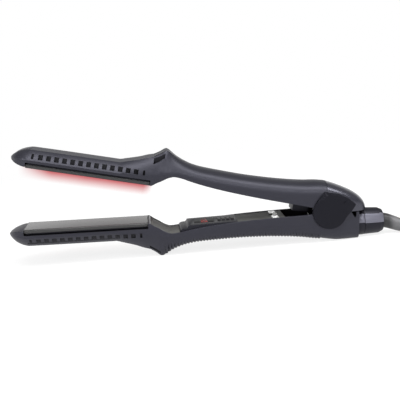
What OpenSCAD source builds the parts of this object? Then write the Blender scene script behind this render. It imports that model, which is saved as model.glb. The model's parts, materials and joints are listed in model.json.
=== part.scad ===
// Infrared hair iron: two hinged arms with heated plates, jaws open, cord put away in a tied hank.
// Millimetres. +X runs towards the cord, +Y away from the side with the near cap, +Z up.
// The origin lies on the floor, in the middle of the flat sole under the hinge.
// Each arm is drawn in its own frame: the hinge pin at the origin, the nose towards -X,
// +Z out of the jaw, and the plane where the closed plates meet at Z = 0.

/* [Plates] */
// Distance from the hinge pin to the plates' heel
heel = 149.5; // [143:0.5:157]
// Length of each plate
plate_l = 100; // [90:1:115]
// Width of each plate
plate_w = 32; // [28:0.5:34]
// Thickness of each plate
plate_t = 3; // [2.4:0.1:3.4]
// Rounding of the plates' long edges
plate_edge = 1.2; // [0.6:0.1:1.6]
// Gap left between the plates when the jaw shuts
plate_gap = 0.3; // [0.2:0.05:0.6]
// How far each plate gives way under the hair
float_travel = 1.2; // [0.8:0.1:1.4]

/* [Shells] */
// How far a shell stands out past each long edge of its plate
rim_w = 2; // [1.5:0.25:2.5]
// Depth of the shell's rim under the closing plane, along the plate
rim_z = 4.8; // [4.7:0.1:5.4]
// Length of the nose past the plate
nose_l = 13.5; // [12:0.5:18]
// Height of an arm's back over the closing plane, along the plate
arm_h = 14.9; // [13.6:0.1:16]
// Width of the flat back, along the plate
back_w = 20.6; // [18:0.2:24]
// Height of the hump over the closing plane
hump_h = 29.6; // [28.6:0.1:31]
// Distance from the plates' heel back to the crest of the hump
hump_back = 10.3; // [9:0.1:12]
// Height of the handle's back over the closing plane, at its thinnest
handle_h = 18.1; // [17:0.1:19]
// Width of the handles
handle_w = 34; // [33:0.5:36]
// Wall of the shells
wall = 2.2; // [1.8:0.1:2.4]
// Number of vents along each flank
vent_count = 15; // [9:1:16]
// Length of one vent
vent_l = 3.7; // [3:0.1:4.2]
// Height of one vent
vent_h = 3.8; // [3:0.1:4.2]

/* [Grip] */
// Number of ribs under the grip
rib_count = 50; // [30:1:60]
// Depth of the ribs
rib_h = 0.8; // [0.5:0.1:1]
// Width of the ribbed strip
grip_w = 15; // [12:0.5:16]
// Thickness of the strip under its ribs
grip_t = 1; // [0.8:0.1:1.2]
// How far the ribs stand out of the shell
rib_out = 0.5; // [0:0.1:0.5]

/* [Hinge] */
// Height of the hinge pin over the floor
pin_h = 25.3; // [25:0.1:26]
// Angle between the open arms
opening = 11.6; // [9:0.2:12]
// Radius of the hinge pin
pin_r = 3; // [2.5:0.1:3.4]
// Wall of the two bushes
bush_t = 1.4; // [1:0.1:1.8]
// Radius of the round cheeks
cheek_r = 13.9; // [13.4:0.1:14.4]
// Thickness of one cheek
cheek_t = 2.9; // [2.4:0.1:2.95]
// Thickness of a side cap
cap_t = 1.6; // [1:0.1:2]
// Thickness of the yoke's side plates
yoke_t = 2.7; // [2.2:0.1:3]
// Wire of the torsion spring
spring_wire = 1.2; // [1:0.1:1.4]
// Turns of the torsion spring
spring_turns = 6; // [4:1:7]

/* [Controls] */
// Distance from one button to the next
button_pitch = 3.6; // [3.4:0.1:4]
// Length of one button along the handle
button_l = 2.6; // [2:0.1:2.8]
// Width of one button
button_w = 9; // [6:0.5:12]
// How far a button stands out
button_up = 0.8; // [0.7:0.05:1]
// Travel of a button
button_travel = 0.5; // [0.3:0.05:0.55]
// Length of the display window
window_l = 17; // [12:0.5:18]
// Width of the display window
window_w = 16; // [12:0.5:20]
// Travel of the slide switch
switch_travel = 3; // [2:0.25:3.5]
// Thickness of the circuit board
board_t = 1.6; // [1.2:0.1:2]

/* [Swivel] */
// Radius of the swivel barrel
barrel_r = 11.6; // [11.2:0.1:11.8]
// Length of the swivel barrel
barrel_l = 22; // [20:0.5:23]
// Radius of the swivel's neck
neck_r = 6.5; // [5.5:0.1:7]
// Radius of the strain relief at the barrel
relief_r = 6.4; // [5.6:0.1:6.8]
// Radius of the strain relief at its free end
relief_end_r = 4.4; // [4:0.1:5]

/* [Cord] */
// Diameter of the cord
cord_d = 7; // [6.6:0.1:7]
// How far the tie draws each side of the hank in
waist = 7; // [5:0.5:7.5]
// Width of the tie
tie_w = 12; // [8:0.5:16]
// Thickness of the tie
tie_t = 1.3; // [0.8:0.1:1.3]
// Length of the plug's body
plug_l = 36; // [30:1:40]
// Width of the plug's body
plug_w = 25; // [20:1:28]
// Thickness of the plug's body
plug_t = 15; // [13:0.5:17]
// Distance between the plug's two flat pins
pins_apart = 12.7; // [12.7:0.1:12.8]
// Length of the plug's pins
pins_l = 16; // [15:0.5:18]

/* [Hidden] */
$fn = 64;

// Finishes
BODY = [0.20, 0.20, 0.23];
TRIM = [0.10, 0.10, 0.11];
COVER = [0.26, 0.27, 0.26];
METAL = [0.55, 0.54, 0.54];
STEEL = [0.70, 0.70, 0.72];
BRASS = [0.72, 0.58, 0.30];
RUBBER = [0.16, 0.16, 0.17];
BOARD = [0.10, 0.32, 0.18];
GLOW = [0.95, 0.25, 0.28];
WHITE = [0.90, 0.90, 0.88];

far = 400; // longer than the whole part, for cuts that go right through
slip = 0.05; // radial clearance of a turning pin

// Main distances along an arm
reach = heel + plate_l + nose_l;
hump_s = heel - hump_back;
half_w = plate_w / 2 + rim_w;
grip_half = handle_w / 2;
back_half = back_w / 2;
plate_z = plate_gap / 2;
rear_s = -25;

// Both the crest of the hump, with its small flat, and the sole touch the floor
crest_flat = 0.25;
crest_h = hump_h - crest_flat;
tilt = acos(pin_h / sqrt(hump_s * hump_s + crest_h * crest_h)) - atan2(hump_s, crest_h);
origin_s = -11; // where the origin lies along the arm, on the sole

// Cross-sections of an arm, from the hinge to the nose:
// [distance from the pin, back, inner edge, half width, half back, knee of the flank, fullness]
HEAD = [
    [rear_s, pin_h - 0.2, 1.2, 14.6, 7.5, 14, 0.8],
    [-8, pin_h - 0.2, 1.2, 16.8, 8.8, 15, 0.85],
    [-1, pin_h - 1, 1.2, grip_half, 9, 14.6, 0.85],
    [5, pin_h - 2, 1.2, grip_half, 9, 13.8, 0.85]
];
NECK_END = [[5.3, handle_h + 4.9, 1.2, grip_half, 9, 13.6, 0.85]];
ARM = [
    [12, handle_h + 4.4, 1.2, grip_half, 9, 13, 0.85],
    [23, handle_h + 2.7, 1.7, grip_half, 9, 11.5, 0.85],
    [37, handle_h + 1.3, 2.1, grip_half, 9, 10.2, 0.85],
    [hump_s - 84, handle_h + 0.3, 2.7, grip_half, 9, 9.4, 0.85],
    [hump_s - 66, handle_h, 3.6, grip_half, 9, 9.2, 0.85],
    [hump_s - 44, handle_h + 0.6, 5.3, grip_half, 9, 9.8, 0.85],
    [hump_s - 30, handle_h + 1.3, 7, grip_half, 9, 10.8, 0.85],
    [hump_s - 21, handle_h + 2.7, 8.5, grip_half, 9, 12, 0.8],
    [hump_s - 15, handle_h + 4.4, 9.7, grip_half, 9, 13.4, 0.75],
    [hump_s - 9, hump_h - 4.8, 10.2, grip_half, 9.3, 14.8, 0.7],
    [hump_s - 4.2, hump_h - 2, 8.7, grip_half, 9.6, 16, 0.6],
    [hump_s - 1.6, hump_h - 0.5, 7.2, grip_half + 0.1, 9.8, 16.4, 0.55],
    [hump_s, hump_h, 6.1, grip_half + 0.2, 9.9, 16.5, 0.5],
    [hump_s + 1.6, hump_h - 0.7, 5.1, grip_half + 0.3, 10, 16.2, 0.5],
    [hump_s + 4.6, hump_h - 3.1, 3.4, grip_half + 0.5, 10.1, 15.2, 0.45],
    [heel - 2.5, hump_h - 5.2, 1.2, half_w - 0.3, 10.2, 14, 0.4],
    [heel - 1.2, hump_h - 6, 0.5, half_w - 0.2, back_half, 13.4, 0.38],
    [heel + 4, arm_h + 7.1, 0.4, half_w, back_half, 12, 0.35],
    [heel + 10.5, arm_h + 4.6, 0.4, half_w, back_half, 10.2, 0.3],
    [heel + 16.5, arm_h + 2.8, 0.4, half_w, back_half, 8.8, 0.28],
    [heel + 22.5, arm_h + 1.1, 0.4, half_w, back_half, 7.6, 0.25],
    [heel + 26.5, arm_h, 0.4, half_w, back_half, 7, 0.25],
    [heel + plate_l / 2, arm_h, 0.6, half_w, back_half, 7, 0.25],
    [reach - 16, arm_h - 0.2, 1, half_w, back_half, 7, 0.25],
    [reach - 12, arm_h - 1, 1.1, half_w - 1.1, 9.4, 6.9, 0.3],
    [reach - 9, arm_h - 2, 1.4, half_w - 2.7, 8.3, 6.6, 0.36],
    [reach - 6, arm_h - 3.4, 2, half_w - 5.1, 6.8, 6.2, 0.42],
    [reach - 3, arm_h - 5.7, 2.9, half_w - 8.8, 4.7, 5.8, 0.45],
    [reach - 1, arm_h - 7.5, 3.8, half_w - 12.7, 2.6, 5.5, 0.45],
    [reach, arm_h - 8.9, 4.8, half_w - 16, 1, 5.4, 0.45]
];
LOWER = concat(HEAD, ARM);
UPPER = concat(NECK_END, ARM);
HOOD = [
    [-31, 7.6, 5, 9, 5, 6.6, 0.7],
    [-29.5, 11.2, 3.5, 11.6, 6.4, 7.6, 0.75],
    [-26.5, 14.2, 1.6, 14, 7.4, 8.8, 0.8],
    [-20, 17.6, -2, 16, 8.4, 10, 0.85],
    [-12, 20, -4, grip_half - 0.1, 9, 11.4, 0.85],
    [-4.5, 21.6, -4, grip_half, 9, 12.8, 0.85],
    [5, handle_h + 4.9, -4, grip_half, 9, 13.6, 0.85]
];

// Reads one column of a set of cross-sections at any distance from the pin
function at(rows, s, column) = lookup(s, [for (r = rows) [r[0], r[column]]]);
function inner(rows, s) = at(rows, s, 2);
function outer(rows, s) = at(rows, s, 1);
// The distances of the cross-sections between two ends, with the ends
function between(rows, a, b) =
    concat([a], [for (r = rows) if (r[0] > a + 0.2 && r[0] < b - 0.2) r[0]], [b]);

// One side of a cross-section, from the inner edge to the back, drawn in by a wall
FLANK_STEPS = 4;
function flank(rows, s, thin, open) =
    let (
        w = at(rows, s, 3) - thin,
        b = max(at(rows, s, 4) - thin / 2, 0.4),
        back = outer(rows, s) - thin,
        edge = inner(rows, s) - open,
        knee = min(at(rows, s, 5), back - 0.3),
        full = at(rows, s, 6),
        bend = [b + (w - b) * (0.5 + full / 2), knee + (back - knee) * (0.5 + full / 2)]
    )
    concat(
        [[w, edge]],
        [for (i = [0:FLANK_STEPS])
            let (t = i / FLANK_STEPS)
            [w, knee] * pow(1 - t, 2) + bend * 2 * t * (1 - t) + [b, back] * pow(t, 2)]
    );
function ring(rows, s, thin, open) =
    let (side = flank(rows, s, thin, open), n = len(side))
    concat(
        [for (p = side) [-s, p[0], p[1]]],
        [for (i = [n - 1:-1:0]) [-s, -side[i][0], side[i][1]]]
    );

// A closed skin through rings of equal counts
module skin(rings) {
    n = len(rings[0]);
    m = len(rings);
    polyhedron(
        points = [for (r = rings) each r],
        faces = concat(
            [[for (j = [n - 1:-1:0]) j]],
            [for (i = [0:m - 2], j = [0:n - 1])
                each [
                    [i * n + j, i * n + (j + 1) % n, (i + 1) * n + j],
                    [i * n + (j + 1) % n, (i + 1) * n + (j + 1) % n, (i + 1) * n + j]
                ]],
            [[for (j = [0:n - 1]) (m - 1) * n + j]]
        ),
        convexity = 8
    );
}
module loft(rows, a, b, thin = 0, open = 0)
    skin([for (s = between(rows, a, b)) ring(rows, s, thin, open)]);

// A slab that follows a cross-section's inner edge or back, from depth d0 to d1 past it
module slab(rows, column, a, b, d0, d1, half)
    rotate([90, 0, 0])
        linear_extrude(2 * half, center = true)
            polygon(concat(
                [for (s = between(rows, a, b)) [-s, at(rows, s, column) + d0]],
                [for (s = reverse(between(rows, a, b))) [-s, at(rows, s, column) + d1]]
            ));
function reverse(list) = [for (i = [len(list) - 1:-1:0]) list[i]];

// A block between two distances, half widths and depths
module block(a, b, half, z0, z1)
    translate([-b, -half, z0])
        cube([b - a, 2 * half, z1 - z0]);
// A rod along Y at a distance and height, from one side to the other
module cross_rod(s, z, r, y0, y1)
    translate([-s, y0, z])
        rotate([-90, 0, 0])
            cylinder(r = r, h = y1 - y0);
// A peg along the arm's height
module peg(s, y, r, z0, z1)
    translate([-s, y, z0])
        cylinder(r = r, h = z1 - z0);

// The two arms' places
module lower_arm()
    translate([origin_s, 0, pin_h])
        rotate([0, tilt, 0])
            mirror([0, 0, 1])
                children();
module upper_arm()
    translate([origin_s, 0, pin_h])
        rotate([0, tilt + opening, 0])
            children();
module both_sides() {
    children();
    mirror([0, 1, 0])
        children();
}

// Shells
bay_a = heel - 0.2;
bay_b = heel + plate_l + 0.2;
vent_pitch = (plate_l - 10.8) / (vent_count - 1);
vent_z = 8.2;
module vents()
    for (i = [0:vent_count - 1]) {
        end = i == 0 || i == vent_count - 1;
        length = end ? vent_l / 2 : vent_l;
        middle = heel + 5.9 + i * vent_pitch;
        block(middle - length / 2, middle + length / 2, far, vent_z, vent_z + vent_h);
    }
ramp_vent_w = 3.4;
module ramp_vents(rows)
    for (y = [-13, -7.8, 7.8, 13])
        translate([0, y, 0])
            slab(rows, 1, heel - 9.2, heel - 0.6, -10, 2, ramp_vent_w / 2);
module arm_shell(rows, a) {
    difference() {
        loft(rows, a, reach);
        loft(rows, a + wall, heel + plate_l - 1, wall, 12);
        block(bay_a, bay_b, far, -far, rim_z);
        vents();
        ramp_vents(rows);
    }
}
// Small wedge cut in the flanks behind the hinge
REAR_NOTCH = [[17.5, 0], [22.6, 0], [22.6, 5], [21.4, 6.4]];
module lower_shell()
    color(BODY)
        difference() {
            lower_arm()
                difference() {
                    arm_shell(LOWER, rear_s);
                    cross_rod(0, 0, cheek_r + 0.4, -far, far);
                    slab(LOWER, 1, grip_a, grip_b, rib_out - grip_t - rib_h, 4, grip_w / 2);
                    rotate([90, 0, 0])
                        linear_extrude(far, center = true)
                            polygon(REAR_NOTCH);
                    translate([-rear_s - socket_l - 0.1, 0, swivel_z])
                        rotate([0, 90, 0])
                            cylinder(r = socket_r + 0.1, h = 2 * socket_l);
                }
            translate([-far, -far, -far])
                cube([2 * far, 2 * far, far]);
        }
module upper_shell()
    color(BODY)
        upper_arm()
            difference() {
                arm_shell(UPPER, 5.3);
                cross_rod(0, 0, cheek_r + 0.3, -far, far);
            }

// Ribbed strip let into the back of the lower handle
grip_a = 7;
grip_b = hump_s - 3;
rib_pitch = (grip_b - grip_a) / rib_count;
function grip_back(s) = outer(LOWER, s) + rib_out - rib_h;
module grip_strip()
    color(RUBBER)
        lower_arm()
            rotate([90, 0, 0])
                linear_extrude(grip_w - 0.1, center = true)
                    polygon(concat(
                        [for (s = between(LOWER, grip_a, grip_b)) [-s, grip_back(s) - grip_t]],
                        [[-grip_b, grip_back(grip_b)]],
                        [for (i = [rib_count - 1:-1:0])
                            each [
                                let (s = grip_a + (i + 0.7) * rib_pitch) [-s, grip_back(s) + rib_h],
                                let (s = grip_a + (i + 0.3) * rib_pitch) [-s, grip_back(s) + rib_h],
                                let (s = grip_a + i * rib_pitch) [-s, grip_back(s)]
                            ]]
                    ));

// Inner covers of the handles
cover_half = grip_half - wall - 0.2;
cover_t = 2;
cover_in = 0.25; // how far the covers lie under the shells' inner edges
neck_a = hump_s - 15.7;
recess_s = 36.5;
pod_a = hump_s - 63.2;
post_r = 1.8; // posts that carry the circuit board
post_y = 8.5;
rear_post_s = pod_a - 13;
front_post_s = pod_a + 29;
module cover(rows, a, b)
    slab(rows, 2, a, b, cover_in, cover_in + cover_t, cover_half);
module lower_neck_cover()
    color(COVER)
        lower_arm()
            cover(LOWER, neck_a, heel - 3.2);
switch_a = 41.2;
switch_l = 4;
switch_half = 2.2;
module lower_rear_cover()
    color(COVER)
        lower_arm()
            difference() {
                union() {
                    cover(LOWER, recess_s, pod_a - 0.2);
                    for (y = [-post_y, post_y])
                        peg(rear_post_s, y, post_r, inner(LOWER, rear_post_s) + 1, board_z);
                }
                block(switch_a, switch_a + switch_l + switch_travel, switch_half, -far, far);
            }
switch_z = inner(LOWER, switch_a + 3);
module slide_switch()
    color(TRIM)
        lower_arm() {
            block(switch_a + 0.1, switch_a + switch_l - 0.1, switch_half - 0.15,
                switch_z - 0.5, switch_z + cover_in + cover_t + 0.6);
            block(switch_a + 1.2, switch_a + 2.8, switch_half - 0.3, switch_z - 1, switch_z - 0.5);
        }
module switch_base()
    color(STEEL)
        lower_arm()
            block(switch_a - 2, switch_a + switch_l + switch_travel + 2, 4,
                switch_z + cover_in + cover_t + 0.7, switch_z + cover_in + cover_t + 4);

// Control pod on the inner face of the lower handle
pod_b = neck_a - 0.2;
step_s = hump_s - 22.8;
panel_a_z = 3.7;
panel_b_z = 4.8;
function panel(s) = panel_a_z + (panel_b_z - panel_a_z) * (s - pod_a) / (step_s - pod_a);
button_0 = pod_a + 3.4;
module pod_side()
    polygon(concat(
        [
            [-pod_a, panel_a_z],
            [-step_s, panel_b_z],
            [-step_s - 1.4, panel_b_z + 2.1],
            [-pod_b + 1.2, panel_b_z + 2.7],
            [-pod_b, panel_b_z + 3.8]
        ],
        [for (s = reverse(between(LOWER, pod_a, pod_b))) [-s, inner(LOWER, s) + cover_in + cover_t]]
    ));
window_a = button_0 + 3 * button_pitch + button_l + 1.6;
module control_bezel()
    color(TRIM)
        lower_arm()
            difference() {
                union() {
                    rotate([90, 0, 0])
                        linear_extrude(2 * cover_half, center = true)
                            pod_side();
                    for (y = [-post_y, post_y])
                        peg(front_post_s, y, post_r, inner(LOWER, front_post_s) + 1, board_z);
                }
                for (i = [0:3])
                    translate([-button_0 - i * button_pitch, 0, 0])
                        block(-button_l / 2 - 0.1, button_l / 2 + 0.1, button_w / 2 + 0.1, -far, far);
                block(window_a, window_a + window_l, window_w / 2, -far, panel(window_a) + 1);
            }
module display_window()
    color([0.02, 0.02, 0.03])
        lower_arm()
            rotate([90, 0, 0])
                linear_extrude(window_w - 0.2, center = true)
                    polygon([
                        [-window_a - 0.1, panel(window_a)],
                        [-window_a - window_l + 0.1, panel(window_a + window_l)],
                        [-window_a - window_l + 0.1, panel(window_a) + 1],
                        [-window_a - 0.1, panel(window_a) + 1]
                    ]);
module button(i) {
    s = button_0 + i * button_pitch;
    color([0.30, 0.30, 0.32])
        lower_arm() {
            block(s - button_l / 2, s + button_l / 2, button_w / 2,
                panel(s) - button_up, panel(s) + 1.2);
            block(s - 0.8, s + 0.8, 1.5, panel(s) + 1.2, board_z - dome_h - button_travel - 0.05);
        }
}
module power_button() button(0);
module mode_button() button(1);
module minus_button() button(2);
module plus_button() button(3);

// Circuit board behind the pod, with its switches, transformer and relay
board_z = 11.6;
dome_h = 1.2;
board_a = pod_a - 25;
board_b = pod_b - 11.3;
board_half = 11;
relay_l = 7;
relay_half = 5;
relay_h = 3.2;
display_h = 2.2;
module control_board()
    color(BOARD)
        lower_arm() {
            block(board_a, board_b, board_half, board_z, board_z + board_t);
            for (i = [0:3])
                block(button_0 + i * button_pitch - 1.5, button_0 + i * button_pitch + 1.5, 2,
                    board_z - dome_h, board_z);
            block(window_a + 2, window_a + window_l - 2, 6, board_z - display_h, board_z);
            block(pod_a - 2 - relay_l, pod_a - 2, relay_half, board_z - relay_h, board_z);
        }
lead_z = 13.8;
lead_r = 0.8;
lead_y = 5;
lead_end = heel + 9;
module leads(a)
    for (y = [-lead_y, lead_y]) {
        bar(a, lead_end)
            translate([y, lead_z])
                circle(lead_r);
        peg(lead_end - lead_r, y, lead_r, cushion_z, lead_z);
    }
module heater_leads()
    color([0.75, 0.15, 0.12])
        lower_arm()
            leads(board_b);
module upper_leads()
    color([0.75, 0.15, 0.12])
        upper_arm()
            leads(guard_b);

// Plates, their carriers, heaters and cushions: the same set in both arms
module plate_section()
    union() {
        translate([-plate_w / 2, plate_z + plate_edge])
            square([plate_w, plate_t - plate_edge]);
        translate([-plate_w / 2 + plate_edge, plate_z])
            square([plate_w - 2 * plate_edge, plate_t]);
        for (y = [-1, 1])
            translate([y * (plate_w / 2 - plate_edge), plate_z + plate_edge])
                circle(plate_edge);
    }
// Turns a section in Y and Z into a bar along the arm
module bar(a, b)
    translate([-a, 0, 0])
        rotate([90, 0, -90])
            linear_extrude(b - a)
                children();
plate_a = heel + 0.1;
plate_b = heel + plate_l - 0.1;
plate_back = plate_z + plate_t;
module hot_plate()
    bar(plate_a, plate_b)
        plate_section();
flange_t = 0.9;
cushion_t = 2.75;
cushion_top = arm_h - wall - 0.4;
cushion_z = cushion_top - cushion_t;
tray_h = cushion_z - float_travel - 0.1 - plate_back;
heater_t = 2;
heater_half = 8;
tray_half = 12.2;
module carrier() {
    difference() {
        union() {
            block(plate_a, plate_b - 1.2, plate_w / 2 - 0.6, plate_back, plate_back + flange_t);
            block(plate_a + 1.4, plate_b - 3.5, tray_half, plate_back, plate_back + tray_h);
        }
        block(heel + 6, heel + plate_l - 8, heater_half + 0.3, 0, plate_back + heater_t);
    }
}
module heater()
    for (y = [-1, 1])
        translate([0, y * (heater_half + 2) / 2, 0])
            block(heel + 8, heel + plate_l - 10, (heater_half - 2) / 2, plate_back,
                plate_back + heater_t);
pad_l = 12;
pad_half = 8;
spine_half = 0.8;
module cushions() {
    for (s = [heel + 0.3 * plate_l, heel + 0.78 * plate_l])
        block(s - pad_l / 2, s + pad_l / 2, pad_half, cushion_z, cushion_top);
    block(heel + 11, heel + plate_l - 8, spine_half, cushion_z, cushion_top);
}

module lower_plate()
    color(METAL)
        lower_arm()
            hot_plate();
module lower_carrier()
    color(TRIM)
        lower_arm()
            carrier();
module lower_heater()
    color(WHITE)
        lower_arm()
            heater();
module lower_cushions()
    color(GLOW)
        lower_arm()
            cushions();

// The upper plate has a slot for the infrared lens
lens_w = 3;
lens_a = heel + 6;
lens_b = heel + plate_l - 8;
module upper_plate()
    color(METAL)
        upper_arm()
            difference() {
                hot_plate();
                block(lens_a, lens_b, lens_w / 2, -far, far);
            }
module upper_carrier()
    color(TRIM)
        upper_arm()
            carrier();
module upper_heater()
    color(WHITE)
        upper_arm()
            heater();
module upper_cushions()
    color(GLOW)
        upper_arm()
            cushions();
module led_lens()
    color(GLOW)
        upper_arm()
            block(lens_a + 0.1, lens_b - 0.1, lens_w / 2 - 0.1, plate_z + 0.2, plate_back + 0.6);
module led_board()
    color(BOARD)
        upper_arm()
            block(lens_a + 2, lens_b - 2, 1.8, plate_back + 0.6, plate_back + heater_t);
fuse_l = 12;
fuse_r = 1.4;
module thermal_fuse()
    color(STEEL)
        lower_arm()
            bar(heel + 0.4 * plate_l, heel + 0.4 * plate_l + fuse_l)
                translate([4, cushion_z + fuse_r])
                    circle(fuse_r);

// Hinge
cheek_y = grip_half - cheek_t;
yoke_y = cheek_y - 0.1;
yoke_knuckle = 9;
yoke_base = 17.4;
module hinge_yoke()
    color(TRIM)
        lower_arm()
            difference() {
                union() {
                    both_sides() {
                        cross_rod(0, 0, yoke_knuckle, yoke_y - yoke_t, yoke_y);
                        translate([-yoke_knuckle, yoke_y - yoke_t, 0])
                            cube([2 * yoke_knuckle, yoke_t, yoke_base - 1.8]);
                    }
                    block(-11, 11, yoke_y - 1.2, yoke_base - 2.6, yoke_base);
                }
                cross_rod(0, 0, pin_r + bush_t, -far, far);
            }
module hinge_bushes()
    color(BRASS)
        lower_arm()
            both_sides()
                difference() {
                    union() {
                        cross_rod(0, 0, pin_r + bush_t, yoke_y - yoke_t, yoke_y);
                        cross_rod(0, 0, pin_r + bush_t + 1.2, yoke_y - yoke_t - 0.8, yoke_y - yoke_t);
                    }
                    cross_rod(0, 0, pin_r + slip, 0, far);
                }
module hinge_pin()
    color(STEEL)
        upper_arm()
            cross_rod(0, 0, pin_r, -grip_half, grip_half);
module upper_hood()
    color(BODY)
        upper_arm()
            difference() {
                union() {
                    difference() {
                        loft(HOOD, -31, 5);
                        loft(HOOD, -27, 7, wall, 12);
                        cross_rod(0, 0, cheek_r - 0.5, -far, far);
                        rotate([0, -opening, 0])
                            translate([-far, -far, -far - 0.7])
                                cube([2 * far, 2 * far, far]);
                    }
                    both_sides()
                        cross_rod(0, 0, cheek_r, cheek_y, grip_half);
                }
                cross_rod(0, 0, pin_r + 0.02, -far, far);
            }
// The cap is round about the pin and runs out to a blunt tail over the hood
CAP = [[-7.7, 16.2], [4.1, 16.2], [12.6, 13.9], [19.3, 10.3], [19.9, 9.3], [17.8, 4.3], [14.6, -0.9]];
// Where a line from a point touches the round cheek
function touch(p, way) =
    let (a = atan2(p[1], p[0]) + way * acos(cheek_r / norm(p)))
    cheek_r * [cos(a), sin(a)];
module cap_outline() {
    circle(cheek_r);
    polygon(concat([[0, 0], touch(CAP[0], 1)], CAP, [touch(CAP[6], -1)]));
}
module side_cap()
    translate([0, -grip_half, 0])
        rotate([90, 0, 0])
            linear_extrude(cap_t)
                cap_outline();
module near_cap()
    color(TRIM)
        upper_arm()
            side_cap();
module far_cap()
    color(TRIM)
        upper_arm()
            mirror([0, 1, 0])
                side_cap();
guard_a = 16;
guard_b = 29.6;
module wire_guard()
    color(TRIM)
        upper_arm()
            rotate([90, 0, 0])
                linear_extrude(18, center = true)
                    polygon([
                        [-guard_a, -4],
                        [-guard_a, 13],
                        [-guard_b, 13],
                        [-guard_b, -4.6]
                    ]);
module upper_cover()
    color(COVER)
        upper_arm()
            difference() {
                cover(UPPER, guard_b + 0.3, heel - 3.2);
                for (s = screw_s)
                    peg(s, 0, 1.7, -far, far);
            }
screw_s = [51, 113];
module case_screws()
    color(STEEL)
        upper_arm()
            for (s = screw_s) {
                peg(s, 0, 1.6, inner(UPPER, s) + cover_in + 0.4, outer(UPPER, s) - wall - 0.35);
            }

// Torsion spring round the pin, with a leg to each arm
spring_r = pin_r + 0.3 + spring_wire / 2;
spring_rings = 14;
spring_pitch = spring_wire + 0.5;
function spring_point(i) =
    let (turn = i / spring_rings)
    [spring_r * cos(360 * turn), (turn - spring_turns / 2) * spring_pitch, spring_r * sin(360 * turn)];
module torsion_spring()
    color(STEEL)
        upper_arm()
            tube(
                concat(
                    [[spring_r, -spring_turns / 2 * spring_pitch, -9]],
                    [for (i = [0:spring_turns * spring_rings]) spring_point(i)],
                    [[spring_r, spring_turns / 2 * spring_pitch, 9]]
                ),
                spring_wire / 2, 6
            );

// A tube of one radius, or of one radius a point, swept along points
function unit(v) = v / max(norm(v), 0.000001);
function heading(path, i) =
    unit(path[min(i + 1, len(path) - 1)] - path[max(i - 1, 0)]);
function sideways(d) = unit(abs(d[2]) > 0.9 ? cross(d, [0, 1, 0]) : cross(d, [0, 0, 1]));
module tube(path, r, sides)
    skin([for (i = [0:len(path) - 1])
        let (
            d = heading(path, i),
            u = sideways(d),
            v = cross(u, d),
            radius = is_list(r) ? r[i] : r
        )
        [for (k = [0:sides - 1])
            path[i] + radius * (u * cos(360 * k / sides) + v * sin(360 * k / sides))]]);

// Swivel at the rear of the lower arm
socket_r = 10.6;
socket_l = 5;
core_r = 8; // what the barrel and its collar are fitted on
collar_l = 5.2;
// The barrel's collar just clears the floor
swivel_z = pin_h - barrel_r - 0.2 - (collar_l - rear_s) * sin(tilt);
module swivel_axis(s)
    lower_arm()
        translate([-s, 0, swivel_z])
            rotate([0, 90, 0])
                children();
module swivel_socket()
    color(TRIM)
        swivel_axis(rear_s + socket_l)
            difference() {
                cylinder(r = socket_r, h = socket_l);
                translate([0, 0, -1])
                    cylinder(r = neck_r + slip, h = far);
            }
module swivel_spindle()
    color(TRIM)
        swivel_axis(rear_s + 7)
            difference() {
                union() {
                    cylinder(r = neck_r + 2, h = 1.7);
                    cylinder(r = neck_r, h = 7.6);
                    translate([0, 0, 7.5])
                        cylinder(r = core_r, h = barrel_l - 1);
                }
                translate([0, 0, -1])
                    cylinder(r = cord_d / 2 + 0.2, h = far);
            }
module swivel_collar()
    color(METAL)
        swivel_axis(rear_s - 0.5)
            difference() {
                cylinder(r = barrel_r, h = collar_l);
                translate([0, 0, -1])
                    cylinder(r = core_r, h = far);
            }
module barrel_half(side)
    swivel_axis(rear_s - 0.5 - collar_l - 0.1)
        rotate([0, 0, side * 90])
            rotate_extrude(angle = 180)
                polygon([
                    [core_r, 0],
                    [barrel_r - 0.2, 0],
                    [barrel_r - 0.9, barrel_l - collar_l - 3.5],
                    [relief_r + 2.4, barrel_l - collar_l],
                    [relief_r + 0.2, barrel_l - collar_l],
                    [relief_r + 0.2, barrel_l - collar_l - 1],
                    [core_r, barrel_l - collar_l - 1]
                ]);
module swivel_top()
    color(BODY)
        barrel_half(1);
module swivel_bottom()
    color(TRIM)
        barrel_half(-1);

// The cord's route from the barrel to the hank, in round numbers
RELIEF_ROUTE = [
    [34, 0, 11.3], [37, 0, 10.9], [40, -0.3, 10.2], [43, -0.8, 9.2], [46, -1.7, 8.1], [49, -2.9, 7],
    [52, -4.3, 6.1], [56, -6.5, 5.5], [60, -9, 5.3], [64, -11.7, 5.2], [68, -14.5, 5.1]
];
CORD_ROUTE = [
    [68, -14.5, 5.1], [72, -17.4, 5.1], [76, -20.1, 5.1], [80, -22.6, 5.1], [84, -24.8, 5.1],
    [88, -26.6, 5.1], [92, -28, 5.1], [96, -28.8, 5.1], [100, -29.1, 5.1]
];
TAIL_ROUTE = [
    [174, 29.1, 27.6], [170, 29, 27.9], [166, 28.7, 29], [162, 28.2, 30.8], [158, 27.5, 33.3],
    [154, 26.6, 35.1], [150, 25.6, 36.2], [146, 24.4, 36.6], [142, 23.1, 36.8], [138, 21.7, 37.1],
    [134, 20.3, 37.5], [130, 18.9, 37.9], [126, 17.5, 38.3], [122, 16.2, 38.7], [118, 15.1, 38.9],
    [115, 14.4, 39]
];
module strain_relief()
    color(RUBBER)
        tube(
            RELIEF_ROUTE,
            [for (i = [0:len(RELIEF_ROUTE) - 1])
                relief_r + (relief_end_r - relief_r) * i / (len(RELIEF_ROUTE) - 1)],
            16
        );
module cord()
    color(RUBBER)
        tube(CORD_ROUTE, cord_d / 2, 8);
module cord_tail()
    color(RUBBER)
        tube(TAIL_ROUTE, cord_d / 2, 8);

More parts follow.
